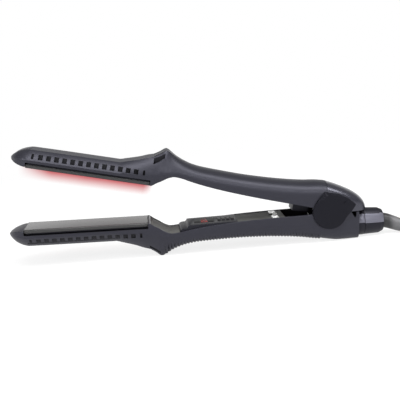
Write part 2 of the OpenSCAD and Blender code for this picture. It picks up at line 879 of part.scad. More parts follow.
// The hank: each layer spirals in or out by one loop, then climbs along the next straight run.
// A loop has 24 rings, six on each run and six on each fold.
hank_x = 107;
hank_z = 5.1;
hank_straight = 74;
fold_r = 21;
hank_step = 8.1;
layer_h = 7.5;
outer_r = fold_r + hank_step;
LOOPS = 5.5;
RINGS = 24;
// Where the spiral (0 inside, 1 outside) and the height (in layers) stand after so many loops
SPIRAL = [
    [0, 1], [1, 0], [1.5, 0], [1.75, 0.2], [2, 0.8], [2.25, 1], [3, 1], [3.25, 0.8],
    [3.5, 0.2], [3.75, 0], [4.5, 0], [4.75, 0.2], [5, 0.8], [5.25, 1]
];
CLIMB = [[1, 0], [1.25, 1], [2.5, 1], [2.75, 2], [4, 2], [4.25, 3]];
function hank_r(t) = fold_r + hank_step * lookup(t, SPIRAL);
function hank_level(t) = lookup(t, CLIMB);
function drawn_in(x) = waist * (1 + cos(360 * (x / hank_straight - 0.5))) / 2;
function hank_point(i) =
    let (
        t = i / RINGS,
        k = i % RINGS,
        r = hank_r(t),
        run = hank_straight * (k % 12) / 6,
        turn = 180 * ((k % 12) - 6) / 6,
        side = k < 12 ? -1 : 1,
        along = (k % 12) <= 6,
        x = along ? run : hank_straight + r * sin(turn),
        y = along ? r - drawn_in(run) : r * cos(turn)
    )
    [
        hank_x + (side < 0 ? x : hank_straight - x),
        side * y,
        hank_z + layer_h * hank_level(t)
    ];
HANK = concat(
    [[100, -29.1, 5.1]],
    [for (i = [0:LOOPS * RINGS]) hank_point(i)],
    [[174, 29.1, 27.6]]
);
// Least distance between stretches of the hank that lie more than a quarter loop apart
hank_gap = min([for (i = [0:len(HANK) - 1], j = [i + 7:1:len(HANK) - 1]) norm(HANK[i] - HANK[j])])
    - cord_d;
module cord_hank() {
    echo(hank_gap = hank_gap);
    color(RUBBER)
        tube(HANK, cord_d / 2, 6);
}
// The tie sits a little behind the waist, clear of where the tail rises
tie_run = 27;
tie_half = outer_r - drawn_in(tie_run) + cord_d / 2 + 0.3;
tie_top = hank_z + 3 * layer_h + cord_d / 2 + 0.3;
tie_low = hank_z - cord_d / 2 - 0.3;
module tie_outline(grow)
    hull()
        for (y = [-1, 1], z = [tie_low + cord_d / 2, tie_top - cord_d / 2])
            translate([y * (tie_half - cord_d / 2), z])
                circle(cord_d / 2 + grow, $fn = 24);
module hank_tie()
    color(TRIM)
        translate([hank_x + tie_run, 0, 0])
            rotate([90, 0, 90])
                linear_extrude(tie_w)
                    difference() {
                        tie_outline(tie_t);
                        tie_outline(0);
                    }

// Plug lying on the hank
plug_x = 115;
plug_y = 14.4;
plug_z = 39;
module plug_body()
    color(RUBBER)
        translate([plug_x, plug_y, plug_z]) {
            rotate([0, -90, 0])
                cylinder(r1 = cord_d / 2 + 1, r2 = plug_t / 2 - 1, h = plug_l / 2);
            translate([-plug_l, -plug_w / 2 + plug_t / 2, -plug_t / 2])
                cube([plug_l * 0.6, plug_w - plug_t, plug_t]);
            for (y = [-1, 1])
                translate([-plug_l, y * (plug_w - plug_t) / 2, 0])
                    rotate([0, 90, 0])
                        cylinder(r = plug_t / 2, h = plug_l * 0.6);
        }
module plug_pins()
    color(BRASS)
        for (y = [-1, 1])
            translate([plug_x - plug_l - pins_l, plug_y + y * pins_apart / 2 - 0.75, plug_z - 3.15])
                cube([pins_l, 1.5, 6.3]);

lower_shell();
grip_strip();
lower_neck_cover();
lower_rear_cover();
control_bezel();
display_window();
power_button();
mode_button();
minus_button();
plus_button();
slide_switch();
switch_base();
control_board();
hinge_yoke();
hinge_bushes();
swivel_socket();
lower_plate();
lower_carrier();
lower_heater();
lower_cushions();
upper_shell();
upper_hood();
upper_cover();
wire_guard();
near_cap();
far_cap();
hinge_pin();
torsion_spring();
case_screws();
heater_leads();
upper_leads();
upper_plate();
upper_carrier();
upper_heater();
upper_cushions();
led_board();
led_lens();
thermal_fuse();
swivel_spindle();
swivel_collar();
swivel_top();
swivel_bottom();
strain_relief();
cord();
cord_hank();
cord_tail();
hank_tie();
plug_body();
plug_pins();
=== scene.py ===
"""Studio scene of an infrared hair iron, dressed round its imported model.

Sizes in the tables and dataclasses are millimetres. Every mesh is in metres, in the model's frame:
the iron lies along X with its jaws towards -X, and stands on the floor at Z = 0.
"""

import json
import logging
import math
from dataclasses import dataclass
from enum import Enum
from typing import Callable, Dict, Iterable, List, Optional, Sequence, Tuple

import bmesh
import bpy
from mathutils import Euler, Matrix, Vector

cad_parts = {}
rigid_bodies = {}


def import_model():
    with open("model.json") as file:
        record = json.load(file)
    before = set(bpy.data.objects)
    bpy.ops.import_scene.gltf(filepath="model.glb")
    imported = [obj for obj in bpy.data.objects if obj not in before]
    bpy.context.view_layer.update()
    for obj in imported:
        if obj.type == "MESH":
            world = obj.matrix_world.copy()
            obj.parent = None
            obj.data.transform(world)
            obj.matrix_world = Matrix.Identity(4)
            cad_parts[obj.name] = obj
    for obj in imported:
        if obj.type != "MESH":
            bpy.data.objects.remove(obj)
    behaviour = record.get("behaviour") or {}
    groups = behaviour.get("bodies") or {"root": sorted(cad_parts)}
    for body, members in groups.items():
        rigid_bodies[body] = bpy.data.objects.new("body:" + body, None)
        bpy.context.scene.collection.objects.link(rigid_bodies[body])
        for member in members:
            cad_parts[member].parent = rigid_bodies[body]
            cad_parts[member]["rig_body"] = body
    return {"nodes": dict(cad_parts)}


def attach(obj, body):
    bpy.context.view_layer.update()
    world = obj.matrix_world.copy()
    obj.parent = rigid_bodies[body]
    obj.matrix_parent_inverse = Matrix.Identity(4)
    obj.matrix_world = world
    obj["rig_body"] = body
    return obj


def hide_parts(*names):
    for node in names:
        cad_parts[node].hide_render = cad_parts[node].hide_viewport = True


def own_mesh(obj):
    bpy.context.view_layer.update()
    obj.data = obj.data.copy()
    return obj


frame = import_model()

LOG = logging.getLogger("hair_iron")
MM = 0.001
FAR = 400.0
# The hinge pin's place in metres, and the tilt of the lower arm and the opening of the jaws in degrees.
PIN_AT = (-0.011, 0.0, 0.0253)
TILT, OPENING = 1.6621, 11.6
Colour = Tuple[float, float, float]
Point = Tuple[float, float, float]
Profile = List[Tuple[float, float]]


class Arm(Enum):
    """The two arms, whose local frame has the hinge pin at its origin and the nose towards -X."""

    LOWER = "lower_arm"
    UPPER = "upper_arm"

    @property
    def matrix(self) -> Matrix:
        """Turns metres in the arm's frame into metres in the model's frame."""
        tilt, opening = math.radians(TILT), math.radians(OPENING)
        place = Matrix.Translation(PIN_AT)
        if self is Arm.LOWER:
            return place @ Matrix.Rotation(tilt, 4, "Y") @ Matrix.Diagonal((1, 1, -1, 1))
        return place @ Matrix.Rotation(tilt + opening, 4, "Y")

    @property
    def word(self) -> str:
        """The word that starts the names of its small pieces."""
        return self.value.split("_")[0]


class Finish(Enum):
    """Names of the finishes, which are the keys of the paint rack."""

    BODY = "moulded_body"
    HOOD = "moulded_hood"
    INSIDE = "shell_inside"
    SHIELD = "heat_shield"
    CAP = "black_cap"
    TRIM = "black_trim"
    COVER = "inner_cover"
    COLLAR = "satin_collar"
    BUTTON = "grey_button"
    KNOB = "pale_knob"
    MARK = "pale_mark"
    PRINT = "white_print"
    INSERT = "satin_insert"
    SOFT = "soft_grip"
    PLATE = "satin_plate"
    STEEL = "turned_steel"
    SPRING = "blued_spring"
    BRASS = "turned_brass"
    BOARD = "circuit_board"
    CERAMIC = "white_ceramic"
    CUSHION = "dark_silicone"
    LEAD = "red_insulation"
    GLASS = "smoked_window"
    DIGIT = "lit_digit"
    LENS = "glowing_lens"
    HAZE = "red_haze"
    CORD = "cord_sheath"
    RELIEF = "relief_rubber"
    STRAP = "woven_strap"


# --------------------------------------------------------------------------- node groups


class NodeShop:
    """Builds shader nodes, and the shared groups that put grain, brushing and weave on surfaces."""

    def __init__(self) -> None:
        """Starts with no groups built."""
        self._groups: Dict[str, bpy.types.NodeTree] = {}

    def group(self, name: str) -> bpy.types.NodeTree:
        """Gives a shared group, built on its first use.

        Args:
            name: one of mould_grain, brushed_grain and strap_weave.

        Returns:
            The group's node tree.
        """
        if name not in self._groups:
            self._groups[name] = getattr(self, "_" + name)()
        return self._groups[name]

    @staticmethod
    def _tree(
        name: str, numbers: Sequence[str], outputs: Sequence[str]
    ) -> Tuple[bpy.types.NodeTree, bpy.types.Node, bpy.types.Node]:
        """Makes an empty group with its sockets: Vector, Colour, Pale and its own numbers.

        Args:
            name: the group's name.
            numbers: names of its number inputs.
            outputs: names of its outputs.

        Returns:
            The tree, its input node and its output node.
        """
        tree = bpy.data.node_groups.new(name, "ShaderNodeTree")
        kinds = {"Vector": "NodeSocketVector", "Colour": "NodeSocketColor", "Pale": "NodeSocketColor"}
        for way, labels in (("INPUT", [*kinds, *numbers]), ("OUTPUT", outputs)):
            for label in labels:
                kind = kinds.get(label, "NodeSocketFloat")
                tree.interface.new_socket(name=label, in_out=way, socket_type=kind)
        return tree, tree.nodes.new("NodeGroupInput"), tree.nodes.new("NodeGroupOutput")

    @staticmethod
    def maths(tree: bpy.types.NodeTree, operation: str, a: object, b: object = 0.5) -> bpy.types.NodeSocket:
        """Adds a Math node.

        Args:
            tree: the tree it goes into.
            operation: Blender's name of the operation.
            a: first socket or number.
            b: second socket or number.

        Returns:
            The node's output.
        """
        node = tree.nodes.new("ShaderNodeMath")
        node.operation = operation
        for slot, value in enumerate((a, b)):
            if isinstance(value, bpy.types.NodeSocket):
                tree.links.new(value, node.inputs[slot])
            else:
                node.inputs[slot].default_value = value
        return node.outputs[0]

    @staticmethod
    def noise(
        tree: bpy.types.NodeTree,
        vector: bpy.types.NodeSocket,
        scale: object,
        detail: float,
        rough: float = 0.5,
    ) -> bpy.types.NodeSocket:
        """Adds a Noise Texture.

        Args:
            tree: the tree it goes into.
            vector: coordinates to read.
            scale: socket or number for its scale, per metre.
            detail: octaves.
            rough: how strong the fine octaves are.

        Returns:
            The noise value.
        """
        node = tree.nodes.new("ShaderNodeTexNoise")
        tree.links.new(vector, node.inputs["Vector"])
        if isinstance(scale, bpy.types.NodeSocket):
            tree.links.new(scale, node.inputs["Scale"])
        else:
            node.inputs["Scale"].default_value = scale
        node.inputs["Detail"].default_value = detail
        node.inputs["Roughness"].default_value = rough
        return node.outputs["Fac"]

    @staticmethod
    def blend(
        tree: bpy.types.NodeTree, factor: bpy.types.NodeSocket, a: object, b: object
    ) -> bpy.types.NodeSocket:
        """Mixes two colours.

        Args:
            tree: the tree it goes into.
            factor: 0 for the first colour, 1 for the second.
            a: first colour or socket.
            b: second colour or socket.

        Returns:
            The mixed colour.
        """
        node = tree.nodes.new("ShaderNodeMix")
        node.data_type = "RGBA"
        tree.links.new(factor, node.inputs[0])
        for slot, value in ((6, a), (7, b)):
            if isinstance(value, bpy.types.NodeSocket):
                tree.links.new(value, node.inputs[slot])
            else:
                node.inputs[slot].default_value = (*value, 1.0)
        return node.outputs[2]

    def _pour(
        self,
        tree: bpy.types.NodeTree,
        source: bpy.types.Node,
        sink: bpy.types.Node,
        share: bpy.types.NodeSocket,
        height: bpy.types.NodeSocket,
    ) -> None:
        """Links a group's outputs: mixed colour, height, and a roughness that follows the height.

        Args:
            tree: the group's tree.
            source: its input node.
            sink: its output node.
            share: how much of the pale colour shows.
            height: the relief, from 0 to 1.
        """
        colour = self.blend(tree, share, source.outputs["Colour"], source.outputs["Pale"])
        tree.links.new(colour, sink.inputs["Colour"])
        tree.links.new(height, sink.inputs["Height"])
        if "Roughness" in sink.inputs:
            swing = self.maths(tree, "SUBTRACT", height, 0.5)
            swing = self.maths(tree, "MULTIPLY", swing, source.outputs["Spread"])
            rough = self.maths(tree, "ADD", source.outputs["Roughness"], swing)
            tree.links.new(rough, sink.inputs["Roughness"])

    def _mould_grain(self) -> bpy.types.NodeTree:
        """Spark-eroded grain of a moulded surface, with faint flow marks and a trace of dust."""
        tree, source, sink = self._tree(
            "mould_grain", ("Grain", "Roughness", "Spread"), ("Colour", "Roughness", "Height")
        )
        vector = source.outputs["Vector"]
        fine = self.noise(tree, vector, source.outputs["Grain"], 3.0, 0.6)
        flow = self.noise(tree, vector, 22.0, 2.0)
        speck = self.noise(tree, vector, 900.0, 1.0)
        dust = self.maths(tree, "MULTIPLY", self.maths(tree, "GREATER_THAN", speck, 0.72), 0.25)
        share = self.maths(tree, "MULTIPLY", fine, flow)
        pale = self.maths(tree, "ADD", self.maths(tree, "MULTIPLY", share, 0.9), dust)
        self._pour(tree, source, sink, pale, fine)
        return tree

    def _brushed_grain(self) -> bpy.types.NodeTree:
        """Long fine strokes along X of the coordinates, as on a ground or brushed plate."""
        tree, source, sink = self._tree(
            "brushed_grain", ("Roughness", "Spread"), ("Colour", "Roughness", "Height")
        )
        mapping = tree.nodes.new("ShaderNodeMapping")
        mapping.inputs["Scale"].default_value = (0.02, 1.0, 1.0)
        tree.links.new(source.outputs["Vector"], mapping.inputs["Vector"])
        stroke = self.noise(tree, mapping.outputs["Vector"], 3200.0, 3.0, 0.7)
        cloud = self.noise(tree, source.outputs["Vector"], 35.0, 2.0)
        share = self.maths(tree, "MULTIPLY", self.maths(tree, "ADD", stroke, cloud), 0.5)
        self._pour(tree, source, sink, share, stroke)
        return tree

    def _strap_weave(self) -> bpy.types.NodeTree:
        """Plain weave of a narrow strap, read from two crossed waves."""
        tree, source, sink = self._tree("strap_weave", ("Threads",), ("Colour", "Height"))
        waves = []
        for axis in ("X", "DIAGONAL"):
            wave = tree.nodes.new("ShaderNodeTexWave")
            wave.bands_direction = axis
            tree.links.new(source.outputs["Vector"], wave.inputs["Vector"])
            tree.links.new(source.outputs["Threads"], wave.inputs["Scale"])
            wave.inputs["Distortion"].default_value = 0.4
            waves.append(wave.outputs["Fac"])
        height = self.maths(tree, "MAXIMUM", waves[0], waves[1])
        self._pour(tree, source, sink, height, height)
        return tree


SHOP = NodeShop()


# --------------------------------------------------------------------------- finishes


@dataclass(frozen=True)
class Surface:
    """What every finish shares: a material with a Principled shader and a way to grain it."""

    colour: Colour
    pale: Colour

    @staticmethod
    def _start(name: str) -> Tuple[bpy.types.Material, bpy.types.NodeTree, bpy.types.Node]:
        """Makes the material.

        Args:
            name: its name.

        Returns:
            The material, its tree and its Principled shader.
        """
        material = bpy.data.materials.new(name)
        material.use_nodes = True
        tree = material.node_tree
        return material, tree, tree.nodes["Principled BSDF"]

    @staticmethod
    def _object_vector(tree: bpy.types.NodeTree) -> bpy.types.NodeSocket:
        """Object coordinates of the piece."""
        return tree.nodes.new("ShaderNodeTexCoord").outputs["Object"]

    def _grain(
        self, tree: bpy.types.NodeTree, shader: bpy.types.Node, group: str, values: Dict[str, float]
    ) -> bpy.types.Node:
        """Places a grain group and links its colour and roughness.

        Args:
            tree: the material's tree.
            shader: its Principled shader.
            group: the group's name.
            values: numbers for the group's inputs.

        Returns:
            The group's node.
        """
        node = tree.nodes.new("ShaderNodeGroup")
        node.node_tree = SHOP.group(group)
        tree.links.new(self._object_vector(tree), node.inputs["Vector"])
        node.inputs["Colour"].default_value = (*self.colour, 1.0)
        node.inputs["Pale"].default_value = (*self.pale, 1.0)
        for label, value in values.items():
            node.inputs[label].default_value = value
        tree.links.new(node.outputs["Colour"], shader.inputs["Base Color"])
        if "Roughness" in node.outputs:
            tree.links.new(node.outputs["Roughness"], shader.inputs["Roughness"])
        return node

    @staticmethod
    def _bump(
        tree: bpy.types.NodeTree, shader: bpy.types.Node, height: bpy.types.NodeSocket, depth: float
    ) -> None:
        """Turns a height into relief.

        Args:
            tree: the material's tree.
            shader: its Principled shader.
            height: the height, from 0 to 1.
            depth: what a height of 1 stands for, in millimetres.
        """
        bump = tree.nodes.new("ShaderNodeBump")
        bump.inputs["Strength"].default_value = 1.0
        bump.inputs["Distance"].default_value = depth * MM
        tree.links.new(height, bump.inputs["Height"])
        tree.links.new(bump.outputs["Normal"], shader.inputs["Normal"])


@dataclass(frozen=True)
class Moulded(Surface):
    """Moulded plastic or rubber, matt to satin, with the mould's fine grain."""

    roughness: float = 0.5
    spread: float = 0.12
    grain: float = 2600.0
    depth: float = 0.012
    specular: float = 0.5
    tint: Colour = (1.0, 1.0, 1.0)

    def build(self, name: str) -> bpy.types.Material:
        """The finished material, under a name."""
        material, tree, shader = self._start(name)
        node = self._grain(
            tree,
            shader,
            "mould_grain",
            {"Grain": self.grain, "Roughness": self.roughness, "Spread": self.spread},
        )
        shader.inputs["Specular IOR Level"].default_value = self.specular
        shader.inputs["Specular Tint"].default_value = (*self.tint, 1.0)
        self._bump(tree, shader, node.outputs["Height"], self.depth)
        return material


@dataclass(frozen=True)
class Graded(Moulded):
    """Moulded rubber that is dark at its root and paler from there on, along X."""

    root: Colour = (0.02, 0.02, 0.022)
    start: float = 40.5
    end: float = 46.5

    def build(self, name: str) -> bpy.types.Material:
        """The finished material, under a name."""
        material = super().build(name)
        tree = material.node_tree
        shader = tree.nodes["Principled BSDF"]
        grained = shader.inputs["Base Color"].links[0].from_socket
        split = tree.nodes.new("ShaderNodeSeparateXYZ")
        tree.links.new(self._object_vector(tree), split.inputs[0])
        along = tree.nodes.new("ShaderNodeMapRange")
        along.interpolation_type = "SMOOTHSTEP"
        along.inputs["From Min"].default_value = self.start * MM
        along.inputs["From Max"].default_value = self.end * MM
        tree.links.new(split.outputs["X"], along.inputs["Value"])
        mixed = SHOP.blend(tree, along.outputs["Result"], self.root, grained)
        tree.links.new(mixed, shader.inputs["Base Color"])
        return material


@dataclass(frozen=True)
class Metal(Surface):
    """Ground, brushed or turned metal."""

    roughness: float = 0.35
    spread: float = 0.12
    depth: float = 0.003
    metallic: float = 1.0
    specular: float = 0.5

    def build(self, name: str) -> bpy.types.Material:
        """The finished material, under a name."""
        material, tree, shader = self._start(name)
        node = self._grain(
            tree, shader, "brushed_grain", {"Roughness": self.roughness, "Spread": self.spread}
        )
        shader.inputs["Metallic"].default_value = self.metallic
        shader.inputs["Specular IOR Level"].default_value = self.specular
        self._bump(tree, shader, node.outputs["Height"], self.depth)
        return material


@dataclass(frozen=True)
class Woven(Surface):
    """A woven strap."""

    threads: float = 500.0

    def build(self, name: str) -> bpy.types.Material:
        """The finished material, under a name."""
        material, tree, shader = self._start(name)
        node = self._grain(tree, shader, "strap_weave", {"Threads": self.threads})
        shader.inputs["Roughness"].default_value = 0.85
        shader.inputs["Sheen Weight"].default_value = 0.3
        self._bump(tree, shader, node.outputs["Height"], 0.12)
        return material


@dataclass(frozen=True)
class Smoked(Surface):
    """Dark glossy window."""

    def build(self, name: str) -> bpy.types.Material:
        """The finished material, under a name."""
        material, tree, shader = self._start(name)
        self._grain(tree, shader, "mould_grain", {"Grain": 60.0, "Roughness": 0.5, "Spread": 0.06})
        shader.inputs["Specular IOR Level"].default_value = 0.25
        return material


@dataclass(frozen=True)
class Lit(Surface):
    """A lit piece, such as a lens or a digit, with a slightly uneven glow. The white print uses it too, as
    a painted glow, since a print is no lamp.
    """

    strength: float = 1.5

    def build(self, name: str) -> bpy.types.Material:
        """The finished material, under a name."""
        material, tree, shader = self._start(name)
        node = self._grain(
            tree, shader, "mould_grain", {"Grain": 400.0, "Roughness": 0.25, "Spread": 0.05}
        )
        tree.links.new(node.outputs["Colour"], shader.inputs["Emission Color"])
        shader.inputs["Emission Strength"].default_value = self.strength
        return material


@dataclass(frozen=True)
class PaintedGlow(Surface):
    """Painted red glow that fades away from the upper plate: a see-through sheet that emits light, though
    it is no lamp.

    The fade reads the UV map: U runs along the plate, and V is the depth under it.
    """

    weight: float = 0.8
    power: float = 1.12

    def build(self, name: str) -> bpy.types.Material:
        """The finished material, under a name."""
        material, tree, shader = self._start(name)
        uv = tree.nodes.new("ShaderNodeUVMap")
        uv.uv_map = "fade"
        split = tree.nodes.new("ShaderNodeSeparateXYZ")
        tree.links.new(uv.outputs["UV"], split.inputs[0])
        depth = SHOP.maths(tree, "POWER", SHOP.maths(tree, "SUBTRACT", 1.0, split.outputs["Y"]), self.power)
        alpha = SHOP.maths(tree, "MULTIPLY", depth, split.outputs["X"])
        cloud = SHOP.noise(tree, self._object_vector(tree), 60.0, 2.0)
        soft = SHOP.maths(tree, "ADD", SHOP.maths(tree, "MULTIPLY", cloud, 0.2), self.weight)
        colour = SHOP.blend(tree, depth, self.pale, self.colour)
        tree.links.new(colour, shader.inputs["Emission Color"])
        tree.links.new(SHOP.maths(tree, "MULTIPLY", alpha, soft), shader.inputs["Alpha"])
        shader.inputs["Base Color"].default_value = (0.0, 0.0, 0.0, 1.0)
        shader.inputs["Emission Strength"].default_value = 1.0
        shader.inputs["Specular IOR Level"].default_value = 0.0
        shader.inputs["Roughness"].default_value = 1.0
        return material


# Painted light: the bluish tint of the plastics' reflections, and the blue in their dark base colours,
# stand in for the bluish cast of the studio lamps.
BLUISH_LIGHT_TINT: Colour = (0.84, 0.84, 1.0)
FINISHES: Dict[Finish, Surface] = {
    Finish.BODY: Moulded(
        (0.0100, 0.0100, 0.0145), (0.020, 0.020, 0.028), 0.44, 0.1, 2600.0, 0.009, 0.55, tint=BLUISH_LIGHT_TINT
    ),
    Finish.HOOD: Moulded(
        (0.0105, 0.0105, 0.0155), (0.021, 0.021, 0.030), 0.28, 0.1, 2600.0, 0.008, 1.0, tint=BLUISH_LIGHT_TINT
    ),
    Finish.INSIDE: Moulded((0.006, 0.006, 0.009), (0.012, 0.012, 0.016), 0.7, 0.1, 1500.0, 0.01, 0.25),
    Finish.SHIELD: Moulded((0.015, 0.015, 0.020), (0.025, 0.025, 0.033), 0.6, 0.1, 1500.0, 0.01, 0.4),
    Finish.CAP: Moulded(
        (0.004, 0.004, 0.006), (0.009, 0.009, 0.013), 0.42, 0.1, 3400.0, 0.008, 0.22, tint=BLUISH_LIGHT_TINT
    ),
    Finish.TRIM: Moulded(
        (0.007, 0.007, 0.010), (0.015, 0.015, 0.021), 0.42, 0.1, 2600.0, 0.01, 0.3, tint=BLUISH_LIGHT_TINT
    ),
    Finish.COVER: Moulded((0.095, 0.096, 0.092), (0.135, 0.138, 0.130), 0.6, 0.1, 2600.0, 0.012, 0.25),
    Finish.COLLAR: Moulded((0.07, 0.071, 0.078), (0.11, 0.112, 0.12), 0.3, 0.08),
    # Pale satin band on the swivel's sides: partly a satin insert, partly painted highlight.
    Finish.INSERT: Moulded(
        (0.12, 0.12, 0.15), (0.18, 0.18, 0.215), 0.3, 0.1, 1800.0, 0.008, 0.7, tint=BLUISH_LIGHT_TINT
    ),
    Finish.BUTTON: Moulded((0.03, 0.03, 0.033), (0.05, 0.05, 0.054), 0.45, 0.1, specular=0.3),
    Finish.KNOB: Moulded((0.62, 0.62, 0.61), (0.76, 0.76, 0.75), 0.45, 0.1),
    Finish.MARK: Moulded((0.3, 0.3, 0.3), (0.42, 0.42, 0.42), 0.5, 0.05),
    # Painted light: the white print glows, so that it reads white in the shade under the upper arm.
    Finish.PRINT: Lit((0.8, 0.8, 0.8), (0.9, 0.9, 0.9), 0.6),
    Finish.SOFT: Moulded((0.011, 0.011, 0.014), (0.020, 0.020, 0.025), 0.6, 0.1, 1800.0, 0.02, 0.3),
    Finish.PLATE: Metal((0.046, 0.046, 0.047), (0.062, 0.062, 0.063), 0.21, 0.06, 0.0012, 0.12, 0.3),
    Finish.STEEL: Metal((0.5, 0.5, 0.51), (0.62, 0.62, 0.63), 0.28, 0.1),
    Finish.SPRING: Metal((0.016, 0.016, 0.020), (0.03, 0.03, 0.036), 0.4, 0.1),
    Finish.BRASS: Metal((0.62, 0.43, 0.17), (0.75, 0.56, 0.26), 0.26, 0.12),
    Finish.BOARD: Moulded((0.012, 0.09, 0.035), (0.03, 0.16, 0.07), 0.35, 0.2, 700.0),
    Finish.CERAMIC: Moulded((0.7, 0.7, 0.67), (0.82, 0.82, 0.8), 0.6, 0.1, 1500.0),
    Finish.CUSHION: Moulded((0.02, 0.02, 0.02), (0.03, 0.03, 0.03), 0.7, 0.1, 1500.0),
    Finish.LEAD: Moulded((0.4, 0.03, 0.02), (0.5, 0.06, 0.04), 0.45, 0.1),
    Finish.GLASS: Smoked((0.004, 0.004, 0.005), (0.010, 0.010, 0.012)),
    Finish.DIGIT: Lit((0.5, 0.02, 0.015), (0.7, 0.05, 0.04), 0.3),
    Finish.LENS: Lit((0.9, 0.05, 0.05), (1.0, 0.16, 0.14), 2.2),
    Finish.HAZE: PaintedGlow((0.62, 0.17, 0.18), (0.86, 0.5, 0.5), 0.93),
    Finish.CORD: Moulded((0.105, 0.105, 0.11), (0.155, 0.155, 0.16), 0.42, 0.1, 1500.0),
    Finish.RELIEF: Graded((0.12, 0.12, 0.126), (0.175, 0.175, 0.18), 0.4, 0.1, 1500.0),
    Finish.STRAP: Woven((0.012, 0.012, 0.013), (0.05, 0.05, 0.054)),
}


class PaintRack:
    """Builds each finish's material once and hands it out."""

    def __init__(self) -> None:
        """Starts with no material built."""
        self._built: Dict[Finish, bpy.types.Material] = {}

    def __getitem__(self, finish: Finish) -> bpy.types.Material:
        """The material of a finish."""
        if finish not in self._built:
            self._built[finish] = FINISHES[finish].build(finish.value)
        return self._built[finish]


PAINT = PaintRack()


# --------------------------------------------------------------------------- mesh helpers


def to_object(name: str, shape: bmesh.types.BMesh) -> bpy.types.Object:
    """Turns a bmesh into an object in the scene, and frees the bmesh.

    Args:
        name: the object's name.
        shape: the mesh, in metres in the model's frame.

    Returns:
        The new object.
    """
    mesh = bpy.data.meshes.new(name)
    shape.to_mesh(mesh)
    shape.free()
    made = bpy.data.objects.new(name, mesh)
    bpy.context.scene.collection.objects.link(made)
    return made


def smooth(piece: bpy.types.Object, angle: float = 32.0) -> None:
    """Shades a piece smooth, apart from edges sharper than an angle in degrees."""
    mesh = piece.data
    mesh.polygons.foreach_set("use_smooth", [True] * len(mesh.polygons))
    mesh.set_sharp_from_angle(angle=math.radians(angle))


def dress(
    piece: bpy.types.Object,
    finish: Finish,
    body: str,
    nodes: Sequence[str] = (),
    second: Optional[Finish] = None,
) -> bpy.types.Object:
    """Gives a piece its finish, its body and the nodes that it stands for.

    Args:
        piece: the object.
        finish: its finish.
        body: the body that it moves with.
        nodes: nodes of the model that it replaces.
        second: finish of the faces that are marked with material 1, if any are.

    Returns:
        The same object.
    """
    mesh = piece.data
    marks = [0] * len(mesh.polygons)
    if second:
        mesh.polygons.foreach_get("material_index", marks)
    mesh.materials.clear()
    mesh.materials.append(PAINT[finish])
    if second:
        mesh.materials.append(PAINT[second])
    mesh.polygons.foreach_set("material_index", marks)
    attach(piece, body)
    if nodes:
        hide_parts(*nodes)
    LOG.info("%s: %s on %s", piece.name, finish.value, body)
    return piece


def carve(piece: bpy.types.Object, cutter: bmesh.types.BMesh) -> None:
    """Cuts a closed shape out of a piece. The cut faces get the piece's second material.

    Args:
        piece: the object that is cut.
        cutter: closed mesh of what is taken away. It is used up.
    """
    for face in cutter.faces:
        face.material_index = 1
    tool = to_object("cutter", cutter)
    step = piece.modifiers.new("carve", "BOOLEAN")
    step.object = tool
    step.operation = "DIFFERENCE"
    step.solver = "EXACT"
    step.material_mode = "INDEX"
    bpy.context.view_layer.update()
    seen = piece.evaluated_get(bpy.context.evaluated_depsgraph_get())
    cut = bpy.data.meshes.new_from_object(seen)
    piece.modifiers.clear()
    old, piece.data = piece.data, cut
    bpy.data.meshes.remove(old)
    bpy.data.meshes.remove(tool.data)


def merged(shapes: Iterable[bmesh.types.BMesh]) -> bmesh.types.BMesh:
    """Puts several meshes into one.

    Args:
        shapes: the meshes, which are used up.

    Returns:
        One mesh with all of them.
    """
    whole = bmesh.new()
    for shape in shapes:
        part = bpy.data.meshes.new("part")
        shape.to_mesh(part)
        shape.free()
        whole.from_mesh(part)
        bpy.data.meshes.remove(part)
    return whole


def box(low: Point, high: Point) -> bmesh.types.BMesh:
    """A block between two corners in millimetres."""
    shape = bmesh.new()
    bmesh.ops.create_cube(shape, size=1.0)
    size = Vector(high) - Vector(low)
    middle = (Vector(high) + Vector(low)) / 2
    bmesh.ops.scale(shape, vec=size * MM, verts=shape.verts)
    bmesh.ops.translate(shape, vec=middle * MM, verts=shape.verts)
    return shape


def block(a: float, b: float, half: float, low: float, high: float) -> bmesh.types.BMesh:
    """A block in an arm's frame, from distance a to b, to both sides, between two heights."""
    return box((-b, -half, low), (-a, half, high))


def rod(radius: float, start: Point, end: Point, sides: int = 48) -> bmesh.types.BMesh:
    """A closed cylinder between two points.

    Args:
        radius: in millimetres.
        start: centre of one end.
        end: centre of the other end.
        sides: number of sides.

    Returns:
        The mesh.
    """
    shape = bmesh.new()
    a, b = Vector(start), Vector(end)
    bmesh.ops.create_cone(
        shape,
        cap_ends=True,
        segments=sides,
        radius1=radius * MM,
        radius2=radius * MM,
        depth=(b - a).length * MM,
    )
    turn = (b - a).to_track_quat("Z", "Y").to_matrix().to_4x4()
    bmesh.ops.transform(shape, matrix=Matrix.Translation((a + b) / 2 * MM) @ turn, verts=shape.verts)
    return shape


def hinge_rod(radius: float) -> bmesh.types.BMesh:
    """A rod about the hinge pin's axis that passes both flanks of an arm."""
    return rod(radius, (0, -40, 0), (0, 40, 0), 96)


def prism(outline: Sequence[Tuple[float, float]], half: float) -> bmesh.types.BMesh:
    """A solid of an outline in an arm's frame.

    Args:
        outline: corners as x and z, in millimetres.
        half: how far it reaches to each side along Y.

    Returns:
        The mesh.
    """
    shape = bmesh.new()
    face = shape.faces.new([shape.verts.new((x * MM, -half * MM, z * MM)) for x, z in outline])
    made = bmesh.ops.extrude_face_region(shape, geom=[face])
    moved = [v for v in made["geom"] if isinstance(v, bmesh.types.BMVert)]
    bmesh.ops.translate(shape, vec=(0, 2 * half * MM, 0), verts=moved)
    bmesh.ops.recalc_face_normals(shape, faces=shape.faces)
    return shape


def placed(shape: bmesh.types.BMesh, arm: Arm) -> bmesh.types.BMesh:
    """Moves a mesh from an arm's frame to the model's frame, and keeps its faces outward."""
    bmesh.ops.transform(shape, matrix=arm.matrix, verts=shape.verts)
    if arm is Arm.LOWER:
        bmesh.ops.reverse_faces(shape, faces=shape.faces)
    return shape


